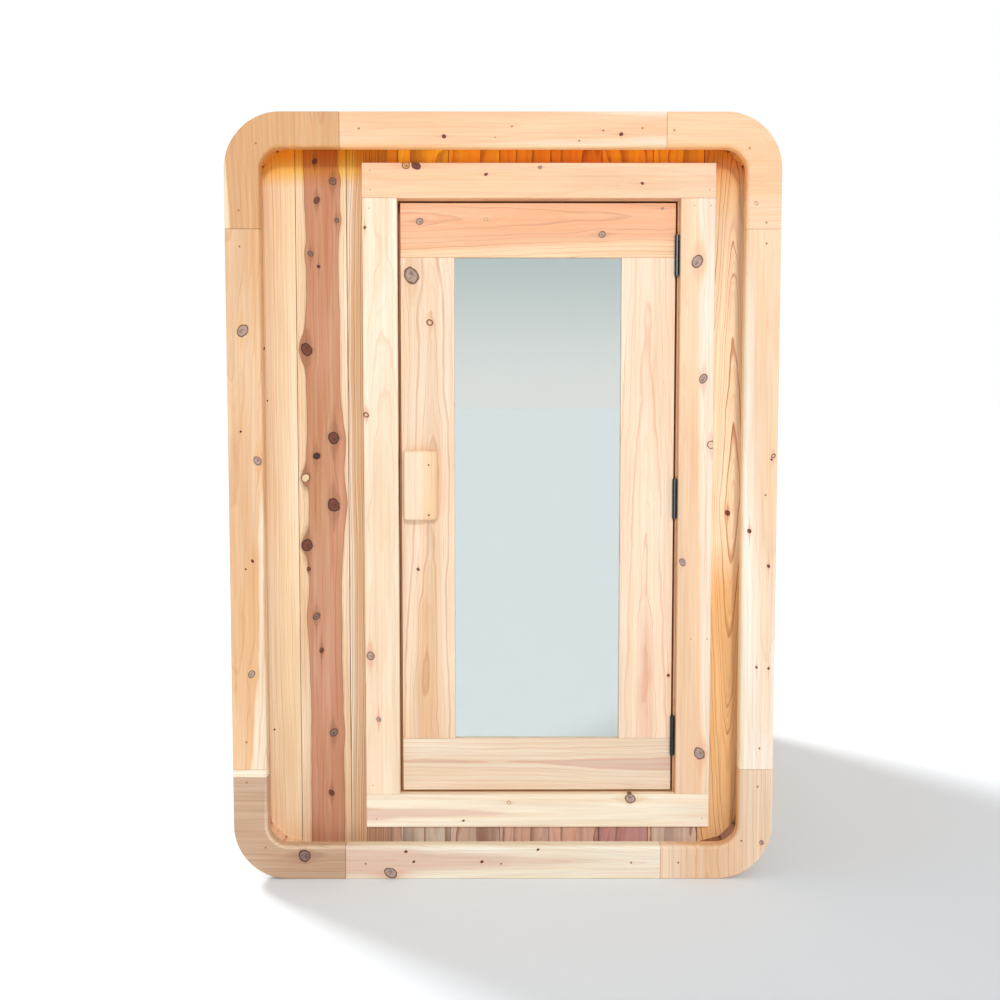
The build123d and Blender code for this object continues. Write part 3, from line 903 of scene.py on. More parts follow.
RIM_FIGURES = {
    "front_rim_top": (X, dict(
        sap="cream", heart="peach", pith=(0.008, 0.010), radius=0.0457, soft=0.009, ring=0.012, lines=0.4,
        line="salmon", streak=0.2, taper=0.0435, sway=0.005, halo="pink", stain=0.7, seed=1.0,
        tone=(1.0, 0.93, 0.93),
        knots=(
            (1.9036, -0.148, 0.0050, "dark"), (1.9088, 0.295, 0.0050, "dark"),
            (1.918, 0.250, 0.0022, "pin"), (1.893, 0.190, 0.0018, "pin"), (1.901, -0.02, 0.0015, "pin"),
        ),
    )),
    "front_rim_bottom": (X, dict(
        sap="cream", heart="blush", pith=(0.002, 0.0), radius=0.015, soft=0.014, ring=0.012, lines=0.4,
        line="pink", streak=0.16, taper=0.0625, sway=0.008, stain=0.3, seed=2.0, tone=(0.95, 1.01, 1.05),
        knots=(
            (0.0729, -0.253, 0.0042, "dark"), (0.0461, -0.2325, 0.0036, "dark"),
            (0.0459, -0.055, 0.0042, "dark"), (0.0405, -0.005, 0.0022, "pin"),
            (0.0779, 0.091, 0.0036, "dark"), (0.016, -0.2928, 0.015, "grey"),
        ),
    )),
    "front_rim_left": (Z, dict(
        sap="cream", heart="tan", pith=(-0.03, 0.03), radius=0.079, soft=0.005, ring=0.017, lines=0.32,
        streak=0.3, taper=-0.046, seed=3.0, halo="amber", tone=(0.99, 0.98, 0.98), patch=1.0,
        knots=(
            (-0.6585, 1.4209, 0.0145, "grey"), (-0.6252, 1.0916, 0.0105, "grey"),
            (-0.6483, 0.5412, 0.0095, "grey"), (-0.667, 1.166, 0.003, "pin"),
            (-0.6415, 0.8346, 0.0042, "dark"), (-0.659, 0.814, 0.0026, "pin"),
        ),
    )),
    "front_rim_right": (Z, dict(
        sap="cream", heart="peach", pith=(0.02, 0.04), radius=0.052, soft=0.02, ring=0.013, lines=0.34,
        line="tan", streak=0.3, taper=-0.035, halo="pink", stain=0.7, seed=4.0, tone=(1.0, 1.03, 1.10),
        knots=(
            (0.6885, 1.1042, 0.0060, "ring"), (0.6304, 0.9118, 0.0055, "dark"),
            (0.6805, 0.8215, 0.0042, "dark"), (0.6536, 0.5587, 0.0032, "dark"),
            (0.6847, 0.5561, 0.0032, "dark"), (0.684, 1.095, 0.0028, "pin"),
        ),
    )),
    "front_rim_corner_top_left": (Z, dict(
        sap="cream", heart="fawn", pith=(0.100, 0.022), radius=0.2405, soft=0.002, ring=0.013, lines=0.36,
        streak=0.2, taper=-0.05, sway=0.004, seed=5.0, tone=(0.94, 0.90, 0.82),
    )),
    "front_rim_corner_top_right": (X, dict(
        sap="pale", heart="peach", pith=(0.03, 0.16), radius=0.2, soft=0.06, ring=0.014, lines=0.34,
        line="tan", streak=0.3, taper=0.02, stain=0.1, seed=6.0, tone=(1.0, 0.92, 0.88),
        knots=((1.7385, 0.636, 0.005, "plug"),),
    )),
    "front_rim_corner_bottom_left": (X, dict(
        sap="cream", heart="drab", pith=(-0.085, 0.012), radius=0.212, soft=0.002, ring=0.0075, lines=0.42,
        line="umber", streak=0.12, bow=-0.02, sway=0.006, halo="umber", seed=7.0,
        knots=((0.0624, -0.5169, 0.0165, "slate"),),
    )),
    "front_rim_corner_bottom_right": (Z, dict(
        sap="pale", heart="tan", pith=(-0.02, 0.05), radius=0.09, soft=0.06, ring=0.014, lines=0.36,
        streak=0.7, taper=0.02, seed=8.0, tone=(0.99, 0.99, 1.04), knots=((0.6735, 0.096, 0.006, "grey"),),
    )),
}
CASING_FIGURES = {
    "casing_head": (X, dict(
        sap="pale", heart="peach", pith=(0.0, 0.05), radius=0.07, soft=0.03, ring=0.016, lines=0.36,
        line="tan", streak=0.4, taper=0.03, halo="pink", seed=11.0, tone=(1.0, 0.96, 0.97),
        knots=(
            (1.8430, -0.2225, 0.011, "dark"), (1.8430, -0.248, 0.010, "amber"),
            (1.8204, -0.0436, 0.0040, "dark"), (1.8381, 0.0945, 0.0050, "grey"),
            (1.7979, 0.3557, 0.0040, "dark"),
        ),
    )),
    "casing_foot": (X, dict(
        sap="cream", heart="blush", pith=(-0.006, 0.0), radius=-0.003, soft=0.006, ring=0.02, lines=0.2,
        line="pink", streak=0.1, taper=0.046, sway=0.004, halo="tan", stain=0.7, seed=12.0,
        tone=(1.02, 1.06, 1.08),
        knots=(
            (0.1835, 0.016, 0.0050, "plug"), (0.1349, -0.1046, 0.003, "dark"),
            (0.1941, 0.337, 0.013, "grey"),
        ),
    )),
    "casing_latch_side": (Z, dict(
        sap="cream", heart="pale", pith=(0.0, 0.05), radius=0.055, soft=0.02, ring=0.015, lines=0.5,
        line="tan", streak=0.3, taper=0.02, halo="pink", stain=1.0, sway=0.018, seed=13.0,
        knots=(
            (-0.3539, 1.6864, 0.0035, "dark"), (-0.3538, 1.2078, 0.0074, "ring"),
            (-0.3468, 0.5769, 0.0105, "grey"), (-0.327, 0.4074, 0.0060, "grey"),
        ),
    )),
    "casing_hinge_side": (Z, dict(
        sap="cream", heart="peach", pith=(-0.032, 0.02), radius=0.051, soft=0.008, ring=0.016, lines=0.4,
        line="tan", streak=0.3, taper=0.015, halo="pink", seed=14.0, tone=(1.0, 1.02, 1.09),
        knots=(
            (0.4988, 1.6004, 0.0150, "grey"), (0.5177, 1.3008, 0.0110, "grey"),
            (0.540, 1.130, 0.011, "plug"), (0.4683, 0.824, 0.009, "grey"), (0.5187, 0.3154, 0.0145, "grey"),
        ),
    )),
}
DOOR_FIGURES = {
    "door_top_rail": (X, dict(
        sap="peach", heart="salmon", pith=(0.028, 0.02), radius=0.075, soft=0.012, ring=0.014, lines=0.6,
        line="red", streak=0.3, taper=0.02, halo="red", seed=21.0,
        knots=(
            (1.705, -0.2143, 0.0088, "grey"), (1.7101, -0.0438, 0.0042, "plug"),
            (1.672, 0.256, 0.0088, "grey"), (1.7383, 0.4106, 0.0032, "grey"),
        ),
    )),
    "door_bottom_rail": (X, dict(
        sap="pale", heart="blush", pith=(0.004, 0.0), radius=0.0045, soft=0.003, ring=0.012, lines=0.6,
        edge=0.6, line="pink", streak=0.12, taper=-0.020, bow=-0.018, sway=0.008, seed=22.0,
        tone=(0.92, 0.97, 1.02),
    )),
    "door_latch_stile": (Z, dict(
        sap="pale", heart="tan", pith=(0.0, 0.03), radius=0.030, soft=0.02, ring=0.014, lines=0.46,
        line="brown", share=0.22, streak=0.5, taper=0.026, sway=0.014, halo="tan", stain=0.7, seed=23.0,
        tone=(0.96, 0.96, 0.99),
        knots=(
            (-0.2369, 1.5669, 0.0195, "grey"), (-0.1895, 1.446, 0.0090, "ring"),
            (-0.223, 0.802, 0.0040, "dark"),
        ),
    )),
    "door_hinge_stile": (Z, dict(
        sap="cream", heart="pink", pith=(0.0, 0.02), radius=0.004, soft=0.02, ring=0.020, lines=0.6,
        share=0.22, streak=0.22, taper=0.036, bow=0.014, line="pink", seed=24.0, tone=(1.0, 0.92, 0.88),
        knots=((0.438, 0.5192, 0.004, "dark"),),
    )),
}
# Wall boards go by their number, counted rightwards from the joint at wall_start
WALL_FIGURES = {
    -5: dict(
        sap="pale", heart="amber", pith=(-0.100, 0.020), radius=0.055, soft=0.030, ring=0.0095, lines=0.5,
        share=0.2, streak=0.3, taper=0.008, sway=0.008, seed=31.0, tone=(1.0, 0.955, 0.88), patch=0.8,
        knots=(
            (-0.6214, 1.3788, 0.0036, "dark"), (-0.6128, 1.2439, 0.0022, "pin"),
            (-0.606, 0.3743, 0.0028, "pin"),
        ),
    ),
    -4: dict(
        sap="pale", heart="red", line="umber", pith=(0.001, 0.006), radius=0.0425, soft=0.0016, edge=0.65,
        ring=0.013, lines=0.4, streak=0.5, sway=0.006, halo="umber", stain=0.7, seed=32.0, patch=1.3,
        tone=(1.0, 0.98, 0.92),
        knots=(
            (-0.4837, 1.8573, 0.007, "dark"), (-0.4379, 1.8066, 0.0100, "slate"),
            (-0.4796, 1.7583, 0.0084, "dark"), (-0.4285, 1.7074, 0.0065, "slate"),
            (-0.4966, 1.6231, 0.0075, "slate"), (-0.4762, 1.5899, 0.0042, "pin"),
            (-0.5097, 1.3762, 0.0150, "dark"), (-0.4417, 1.1475, 0.0150, "dark"),
            (-0.4866, 1.1004, 0.0100, "pin"), (-0.516, 1.0427, 0.0125, "plug"),
            (-0.4433, 0.9718, 0.0165, "dark"), (-0.514, 0.866, 0.0150, "dark"),
            (-0.510, 0.803, 0.0055, "dark"), (-0.491, 0.6776, 0.0100, "slate"),
            (-0.4788, 0.5868, 0.0065, "dark"), (-0.4491, 0.3661, 0.0110, "slate"),
            (-0.456, 0.2033, 0.0075, "dark"),
        ),
    ),
    -3: dict(
        sap="pale", heart="tan", line="umber", pith=(0.050, 0.010), radius=0.106, soft=0.006, ring=0.0050,
        lines=0.95, share=0.45, streak=0.6, taper=0.006, sway=0.010, seed=33.0, tone=(0.97, 1.0, 1.04),
    ),
    4: dict(
        sap="cream", heart="pale", line="brown", pith=(0.016, 0.014), radius=0.06, soft=0.03, ring=0.011,
        lines=1.0, share=0.26, streak=0.4, bow=0.06, sway=0.008, halo="red", stain=0.9, seed=34.0,
        knots=((0.5888, 0.9504, 0.0068, "dark"),),
    ),
}
FLUSH = 0.00005
LEAST_BOARD = 0.004
STRIP_SHIFT = 0.03
STRIP_STEP = 3.7
WALL_LEVELS = (0.10, 0.15, 0.17, 0.60, 0.75, 0.88, 1.30, 1.70, 1.79, 1.83, 1.87)
# Rows of height, red, green and blue: painted light and shade up each wall board, with some of its own tone;
# the top rows paint the amber shade under the rim
RIM_SHADE_TINTS = ((1.79, 1.0, 0.97, 0.92), (1.83, 1.0, 0.74, 0.20), (1.87, 1.0, 0.47, 0.012))
HEIGHT_LIGHT_SHADE_TINTS = {
    -5: (
        (0.0, 0.94, 0.965, 0.97), (0.60, 0.98, 1.02, 1.035), (0.88, 1.01, 1.06, 1.08),
        (1.30, 1.02, 1.07, 1.10), (1.70, 1.0, 0.95, 0.87), *RIM_SHADE_TINTS,
    ),
    -4: ((0.0, 0.89, 0.85, 0.82), (0.60, 0.95, 0.92, 0.90), (0.88, 1.0, 1.0, 1.0), *RIM_SHADE_TINTS),
    -3: ((0.0, 0.94, 1.0, 1.05), (0.60, 0.98, 1.04, 1.10), (0.88, 1.0, 1.0, 1.0), *RIM_SHADE_TINTS),
    4: (
        (0.0, 1.0, 0.76, 0.48), (0.75, 1.10, 0.85, 0.52), (0.88, 1.26, 1.24, 1.16), (1.30, 1.22, 1.20, 1.12),
        (1.70, 1.01, 0.89, 0.74), (1.79, 0.98, 0.76, 0.46), (1.87, 0.92, 0.34, 0.02),
    ),
}
# The wall board that takes a painted shadow below the casing foot
SHADED_BOARD = -3
# Painted shade: amber, darkened boards over the door, in the top rim's shadow; one red, green and blue per
# board
OVER_DOOR_SHADE_TINTS = (
    (1.12, 0.44, 0.02), (1.70, 0.98, 0.05), (1.55, 0.69, 0.022), (1.36, 0.51, 0.006), (1.36, 0.42, 0.004),
    (1.50, 0.60, 0.013), (1.54, 0.71, 0.015),
)
# Painted shade: boards under the door, in the casing foot's shadow, with some of each board's own tone; one
# red, green and blue per board
UNDER_DOOR_SHADE_TINTS = (
    (0.74, 0.68, 0.76), (0.84, 1.00, 1.24), (0.84, 0.84, 1.02), (0.80, 0.68, 0.76), (0.88, 0.76, 0.88),
    (0.72, 0.54, 0.74), (0.92, 0.94, 1.08),
)
RIM_NAILS = (
    (-0.619, 1.886), (-0.664, 1.721), (-0.663, 1.631), (-0.664, 0.363), (-0.361, 1.923), (0.022, 1.928),
    (0.348, 1.924), (0.428, 1.919), (0.617, 1.875), (0.662, 1.691), (0.663, 1.639), (0.670, 1.004),
    (0.664, 0.346), (0.661, 0.245), (0.621, 0.101), (0.457, 0.043), (-0.618, 0.084), (-0.665, 0.257),
    (-0.358, 0.041), (0.334, 0.043),
)
CASING_NAILS = (
    (-0.340, 1.830), (-0.340, 1.782), (-0.343, 1.735), (-0.343, 0.230), (-0.335, 0.140), (0.528, 0.140),
    (0.490, 1.742), (0.532, 1.742), (0.493, 0.621), (0.535, 0.621), (0.528, 1.782),
)


REVEAL_SHARE = 0.8
LEAST_OVER = 1e-6
# Colours of the edge on the roundover and deeper in: painted light and shade where the rim's inner edge
# catches or misses the light
REVEAL_LIGHT_SHADE = {
    "top": ((1.04, 0.97, 0.80), (1.04, 0.90, 0.60)), "left": ((1.02, 1.02, 0.98), (1.03, 1.0, 0.90)),
    "bottom": ((1.03, 1.04, 1.02), (1.02, 0.99, 0.92)), "right": ((1.02, 1.0, 0.93), (1.0, 0.86, 0.62)),
    "corner_bottom_left": ((1.35, 1.50, 1.55), (1.20, 1.25, 1.20)),
}


def rim_radii(flip):
    """Edge radii of the rim's section, rear pair first; flip puts the inner edge at the low side."""
    inner = sizes().rim_round
    outer = sizes().edge_ease
    front = (inner, outer) if flip else (outer, inner)
    return (outer, outer, *front)


def rim_material(name):
    """Wood of one board of the rim; the rear board shares the front one's."""
    node = f"front_rim_{name}"
    along, figure = RIM_FIGURES[node]
    made = bpy.data.materials.get(f"wood_{node}")
    return made or wood(f"wood_{node}", centre_of(node, along), tinted=True, **figure)


def reveal_light_and_shade(name, points, depth):
    """Tint of a rim board: white, and on the edge that faces the opening the painted light and shade of its
    side.

    The edge is where a place lies less than a part of the roundover outside the rim's inner line, a rounded
    rectangle; it has one colour on the roundover and one deeper in. Round a corner they turn from one
    side's to the other's.
    """
    low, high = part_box("front_rim_left")
    turn = sizes().rim_radius - (high[X] - low[X])
    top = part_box("front_rim_top")[0][Z] - turn
    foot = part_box("front_rim_bottom")[1][Z] + turn
    over_x = np.maximum(np.abs(points[:, X]) + high[X] + turn, 0.0)
    over_z = np.maximum(np.maximum(points[:, Z] - top, foot - points[:, Z]), 0.0)
    inside = np.hypot(over_x, over_z) - turn < REVEAL_SHARE * sizes().rim_round
    deeper = (depth > sizes().rim_round + SUPPORT / 2)[:, None]

    def side_light_and_shade(side):
        """The painted light and shade on the edge of one side, by depth."""
        edge, deep = REVEAL_LIGHT_SHADE[side]
        return np.where(deeper, deep, edge)

    if name in REVEAL_LIGHT_SHADE:
        tint = side_light_and_shade(name)
        if "corner" in name:
            tint = np.where(points[:, 2:] > foot + turn, 1.0, tint)
    else:
        across = np.where(points[:, :1] > 0, side_light_and_shade("right"), side_light_and_shade("left"))
        upright = np.where(points[:, 2:] > (top + foot) / 2, side_light_and_shade("top"), side_light_and_shade("bottom"))
        tint = across + (upright - across) * (over_z / np.maximum(over_x + over_z, LEAST_OVER))[:, None]
    return np.where(inside[:, None], tint, 1.0)


RIM_SIDES = (("top", X, True), ("bottom", X, False), ("left", Z, False), ("right", Z, True))


def rim_pieces(end):
    """The eight boards of one rim. The face that shows is set back by the height of a nail head."""
    setback = sizes().face_setback
    front = end == "front"
    face = np.subtract(*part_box(f"{end}_rim_left")[::-1])[X]

    def box(node):
        """A board's box, with its face set back."""
        low, high = (np.array(corner, dtype=float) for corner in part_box(node))
        low[Y] += setback if front else 0.0
        high[Y] -= 0.0 if front else setback
        return low, high

    def turned(radii):
        """Radii for the rear rim, whose face is at its high side."""
        return radii if front else (radii[3], radii[2], radii[1], radii[0])

    def add(name, part, suffix):
        """One board, its grain turned round at the rear so that its face meets the same wood."""
        depth = part["points"][:, Y]
        depth = depth - depth.min() if front else depth.max() - depth
        # Painted light and shade on the rim's inner edge
        part["tint"] = reveal_light_and_shade(name, part["points"], depth)
        if not front:
            part["grain"] = part["grain"] * [1, -1, 1]
        node = f"{end}_rim_{name}"
        add_piece(f"{node}_{suffix}", [part], [rim_material(name)], "cabin", [node])

    for name, along, flip in RIM_SIDES:
        low, high = box(f"{end}_rim_{name}")
        add(name, straight_board(low, high, along, turned(rim_radii(flip))), "board")
    for rise, level in ((1, "top"), (-1, "bottom")):
        for side, hand in ((-1, "left"), (1, "right")):
            name = f"corner_{level}_{hand}"
            along = RIM_FIGURES[f"front_rim_{name}"][0]
            low, high = box(f"{end}_rim_{name}")
            add(name, corner_block(low, high, side, rise, face, turned(rim_radii(False)), along), "block")


class SAUNA_OT_front_rim(Operator):
    """Front rim of eight boards, each with its own figure"""

    bl_idname = "sauna.front_rim"
    bl_label = "Front rim"

    def execute(self, context):
        rim_pieces("front")
        return {"FINISHED"}


class SAUNA_OT_rear_rim(Operator):
    """Rear rim of eight boards, which repeats the front rim's woods"""

    bl_idname = "sauna.rear_rim"
    bl_label = "Rear rim"

    def execute(self, context):
        rim_pieces("rear")
        return {"FINISHED"}


STAVE_SHIFT = (0.03, 40.0)
STAVE_CHANCE = ((0.93, 0.06), (0.97, 0.03), (0.93, 0.06))
WALL_CHANCE = ((1.0, -0.16), (1.0, -0.16), (1.0, -0.26))
LIP_SLACK = 0.001
LIP_GROOVES = 1.5
# Painted shade on the front lip of the corner staves, inside the rim
LIP_SHADE_TINTS = {
    "roof_corner_left": (1.0, 0.62, 0.20), "roof_corner_right": (0.84, 0.48, 0.15),
    "floor_corner_left": (1.0, 0.86, 0.80), "floor_corner_right": (0.44, 0.32, 0.34),
}


def chance_tint(tone, warm, level, green, blue):
    """A board's tint from two chances; level, green and blue are each a base and a swing."""
    bright = level[0] + level[1] * tone
    return np.array([bright, bright * (green[0] + green[1] * warm), bright * (blue[0] + blue[1] * warm)])


class SAUNA_OT_staves(Operator):
    """Barrel staves: the flat roof, floor and sides and three bevelled staves in each corner"""

    bl_idname = "sauna.staves"
    bl_label = "Barrel staves"

    def execute(self, context):
        made = wood(
            "wood_staves", tinted=True, sap="pale", heart="tan", pith=(0.0, 0.03), radius=0.05, soft=0.02,
            ring=0.011, lines=0.5, streak=0.5, taper=0.02, sway=0.016, seed=51.0, scatter=True,
        )
        inner, outer = barrel_outline()
        across = sizes().roof_staves
        up = sizes().side_staves
        faces = {
            "floor_corner_right": ((0, 1), (1, 1), (2, 1)), "right_side": ((3, up),),
            "roof_corner_right": ((4, 1), (5, 1), (6, 1)), "roof": ((7, across),),
            "roof_corner_left": ((8, 1), (9, 1), (10, 1)), "left_side": ((11, up),),
            "floor_corner_left": ((12, 1), (13, 1), (14, 1)), "floor": ((15, across),),
        }
        draw = np.random.default_rng(SEED)
        for node, strips in faces.items():
            low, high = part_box(node)
            bars = []
            for edge, count in strips:
                bars += stave_bars(inner, outer, edge, count, low[Y], high[Y], sizes().groove)
            for bar in bars:
                shift, along, tone, warm = draw.uniform(-1, 1, 4)
                bar["grain"] = bar["grain"] + [STAVE_SHIFT[0] * shift, 0.0, STAVE_SHIFT[1] * along]
                plain = chance_tint(tone, warm, *STAVE_CHANCE)
                inside = bar["grain"][:, 1] < sizes().groove * LIP_GROOVES
                lip = inside & (bar["points"][:, Y] < low[Y] + STAVE_LIP + LIP_SLACK)
                # The lip takes its painted shade, the rest its own chance tone
                bar["tint"] = np.where(lip[:, None], LIP_SHADE_TINTS.get(node, plain), plain)
            add_piece(f"{node}_staves", bars, [made], "cabin", [node])
        return {"FINISHED"}


class SAUNA_OT_end_walls(Operator):
    """Upright tongued boards of the front and rear walls, cut to the barrel's corners and the doorway"""

    bl_idname = "sauna.end_walls"
    bl_label = "End walls"

    def execute(self, context):
        inner = barrel_outline()[0]
        foot = inner[:4]
        head = inner[4:8]

        def middle_of(number):
            """X of the middle of a wall board."""
            return sizes().wall_start + (number + 0.5) * sizes().wall_pitch

        def floor_line(x):
            """Height of the barrel's floor at x."""
            return np.interp(np.abs(x), foot[:, 0], foot[:, 1])

        def roof_line(x):
            """Height of the barrel's roof at x."""
            return np.interp(np.abs(x), head[::-1, 0], head[::-1, 1])

        def boards(node, low_line, high_line, open_left, open_right):
            """Boards of one bay; an open end of a bay is no joint between boards, so it has no slot."""
            low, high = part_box(node)
            pitch = sizes().wall_pitch
            start = sizes().wall_start
            slot = sizes().slot
            numbers = np.arange(math.floor((low[X] - start) / pitch), math.ceil((high[X] - start) / pitch))
            bars = []
            for number in numbers:
                left = max(low[X], start + number * pitch)
                right = min(high[X], start + (number + 1) * pitch)
                if right - left < LEAST_BOARD:
                    continue
                slot_left = FLUSH if left == low[X] and open_left else slot
                slot_right = FLUSH if right == high[X] and open_right else slot
                bar = wall_board(
                    left, right, low[Y], high[Y], low_line, high_line, slot_left, slot_right,
                    WALL_LEVELS, np.sort(head[:, 0]),
                )
                bar["number"] = int(number)
                bars.append(bar)
            return bars

        def height_light_and_shade(number, points):
            """Painted light and shade up a board, from its rows of height and colour."""
            table = np.array(HEIGHT_LIGHT_SHADE_TINTS[number])
            return np.stack([np.interp(points[:, Z], table[:, 0], table[:, k]) for k in (1, 2, 3)], axis=1)

        figured = {
            number: wood(
                f"wood_wall_board_{index}",
                (middle_of(number), *centre_of("front_wall_left", Z)[1:]),
                tinted=True, **figure,
            )
            for index, (number, figure) in enumerate(WALL_FIGURES.items())
        }
        plain = wood(
            "wood_wall_boards", tinted=True, sap="pale", heart="tan", pith=(0.0, 0.9), radius=0.92, soft=0.05,
            ring=0.010, lines=0.5, share=0.22, streak=0.7, taper=0.03, sway=0.02, seed=35.0, scatter=True,
        )
        strips = wood(
            "wood_wall_strips", tinted=True, sap="pale", heart="fawn", line="umber", pith=(0.11, 0.02),
            radius=0.11, soft=0.05, ring=0.0075, lines=0.8, share=0.4, streak=1.2, taper=0.004, sway=0.006,
            seed=36.0, patch=1.0,
        )
        casing_low, casing_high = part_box("casing_foot")
        middle_height = (casing_low[Z] + casing_high[Z]) / 2
        doorway_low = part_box("front_wall_under_door")[1][Z]
        doorway_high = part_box("front_wall_over_door")[0][Z]
        bays = {
            "front_wall_left": (floor_line, roof_line, False, True, None),
            "front_wall_right": (floor_line, roof_line, True, False, None),
            "front_wall_under_door": (
                floor_line, lambda x: np.full_like(x, doorway_low), True, True, UNDER_DOOR_SHADE_TINTS,
            ),
            "front_wall_over_door": (
                lambda x: np.full_like(x, doorway_high), roof_line, True, True, OVER_DOOR_SHADE_TINTS,
            ),
            "rear_wall": (floor_line, roof_line, False, False, None),
        }
        draw = np.random.default_rng(SEED + 1)
        for node, (low_line, high_line, open_left, open_right, tints) in bays.items():
            bars = boards(node, low_line, high_line, open_left, open_right)
            used = [plain if node == "rear_wall" else strips]
            for order, bar in enumerate(bars):
                number = bar["number"]
                if node != "rear_wall" and number in figured and tints is None:
                    bar["material"] = len(used)
                    # Painted light and shade up the board, with painted shade under the rim at its top
                    bar["tint"] = height_light_and_shade(number, bar["points"])
                    # Painted shadow of the casing foot on the part of this board below it
                    if number == SHADED_BOARD:
                        under = (bar["points"][:, X] > casing_low[X]) & (bar["points"][:, Z] < middle_height)
                        bar["tint"] = np.where(under[:, None], UNDER_DOOR_SHADE_TINTS[0], bar["tint"])
                    used.append(figured[number])
                    continue
                by_chance = chance_tint(*draw.uniform(0, 1, 2), *WALL_CHANCE)
                bar["tint"] = tints[order % len(tints)] if tints else by_chance
                # Other front boards take the strips' painted shade: the over-door shade above mid height, the
                # under-door shade below
                if node != "rear_wall" and not tints:
                    above = bar["points"][:, 2:] > sum(WALL_LEVELS) / len(WALL_LEVELS)
                    bar["tint"] = np.where(above, OVER_DOOR_SHADE_TINTS[-1], UNDER_DOOR_SHADE_TINTS[-1])
                shift = STRIP_SHIFT * (number % 3 - 1) - middle_of(number)
                bar["grain"] = bar["grain"] + [shift, 0.0, STRIP_STEP * number]
            add_piece(f"{node}_boards", bars, used, "cabin", [node])
        return {"FINISHED"}


LEAF_EASE = 0.6


def door_boards(figures, body, ease):
    """Straight boards with their own figures, in place of the nodes of the same names."""
    for node, (along, figure) in figures.items():
        low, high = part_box(node)
        part = straight_board(low, high, along, (ease,) * 4)
        made = wood(f"wood_{node}", centre_of(node, along), **figure)
        add_piece(f"{node}_board", [part], [made], body, [node])


class SAUNA_OT_casing(Operator):
    """Four casing boards round the doorway"""

    bl_idname = "sauna.casing"
    bl_label = "Casing"

    def execute(self, context):
        door_boards(CASING_FIGURES, "cabin", sizes().edge_ease)
        return {"FINISHED"}


class SAUNA_OT_leaf(Operator):
    """Rails and stiles of the door"""

    bl_idname = "sauna.leaf"
    bl_label = "Door leaf"

    def execute(self, context):
        door_boards(DOOR_FIGURES, "door", sizes().edge_ease * LEAF_EASE)
        return {"FINISHED"}


class SAUNA_OT_door_frame(Operator):
    """Wood of the door frame, whose solids are kept"""

    bl_idname = "sauna.door_frame"
    bl_label = "Door frame"

    def execute(self, context):
        for name, axis in (("head", X), ("sill", X), ("latch_side", Z), ("hinge_side", Z)):
            node = f"door_frame_{name}"
            made = wood(
                f"wood_{node}", centre_of(node, axis), axis=axis, sap="tan", heart="fawn", pith=(0.0, 0.06),
                radius=0.07, soft=0.03, ring=0.008, lines=0.4, streak=0.5, seed=61.0 + axis,
            )
            dress(node, made)
        return {"FINISHED"}


PULL_PROFILE = (
    (0.0, 0.0), (0.0, 0.45), (0.02, 0.68), (0.07, 0.84), (0.16, 0.92), (0.30, 0.965), (0.42, 1.0),
    (0.50, 1.0), (0.55, 0.93), (0.60, 0.82), (0.65, 0.78), (0.72, 0.80), (0.82, 0.82), (0.90, 0.80),
    (0.96, 0.72), (0.99, 0.58), (1.0, 0.42), (1.0, 0.0),
)
PULL_KERNEL = np.array([1.0, 2.0, 3.0, 2.0, 1.0])
PULL_POINTS = 64
PULL_ROWS = 6


class SAUNA_OT_pull(Operator):
    """Moulded wooden pull on the latch stile"""

    bl_idname = "sauna.pull"
    bl_label = "Door pull"

    def execute(self, context):
        """A rounded edge, crown, finger cove and lip, as shares of width and thickness, carried upwards.

        Each end is eased by drawing the outline in along a quarter circle.
        """
        low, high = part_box("door_handle")
        shares = np.array(PULL_PROFILE)
        step = np.concatenate([[0.0], np.cumsum(np.hypot(*np.diff(shares, axis=0).T))])
        even = np.linspace(0, step[-1], PULL_POINTS)
        curve = np.stack([np.interp(even, step, shares[:, 0]), np.interp(even, step, shares[:, 1])], axis=1)
        kernel = PULL_KERNEL / PULL_KERNEL.sum()
        beyond = len(kernel) // 2
        padded = np.pad(curve, ((beyond, beyond), (0, 0)), mode="edge")
        smooth = np.stack([np.convolve(padded[:, i], kernel, mode="valid") for i in (0, 1)], axis=1)
        smooth[[0, -1]] = curve[[0, -1]]
        width = high[X] - low[X]
        proud = high[Y] - low[Y]
        ease = sizes().pull_ease
        turn = np.linspace(0, math.pi / 2, PULL_ROWS)
        drawn = ease * (1 - np.sin(turn))
        height = ease * (1 - np.cos(turn))
        insets = np.concatenate([drawn, drawn[::-1]])
        levels = np.concatenate([low[Z] + height, high[Z] - height[::-1]])
        across = low[X] + insets[:, None] + smooth[None, :, 0] * (width - 2 * insets[:, None])
        depth = high[Y] - smooth[None, :, 1] * (proud - insets[:, None])
        sections = np.stack([across, depth], axis=-1)
        rows = len(levels)
        spots = np.stack([np.zeros(rows), np.zeros(rows), levels], axis=1)
        part = carried(sections, spots, unit_rows(X, rows), unit_rows(Y, rows))
        part["grain"] = grain_along(part["points"], Z)
        made = wood(
            "wood_pull", centre_of("door_handle", Z), sap="pale", heart="peach", pith=(0.03, 0.02),
            radius=0.03, soft=0.02, ring=0.011, lines=0.3, line="tan", streak=0.4, seed=71.0,
            knots=((-0.1925, 1.078, 0.0024, "dark"), (-0.1925, 0.948, 0.0026, "dark")),
        )
        add_piece("door_pull", [part], [made], "door", ["door_handle"])
        return {"FINISHED"}


NAIL_POINTS = 12
NAIL_SHARES = ((1.0, 0.0), (0.86, 0.75), (0.5, 1.0))
NAIL_SCALES = (900.0, 900.0, 900.0)
NAIL_SWING = 0.5
NAIL_ROUGH = 0.325
NAIL_METALLIC = 0.35
NAIL_RELIEF = 0.0001
SMALL_NAIL = 0.55


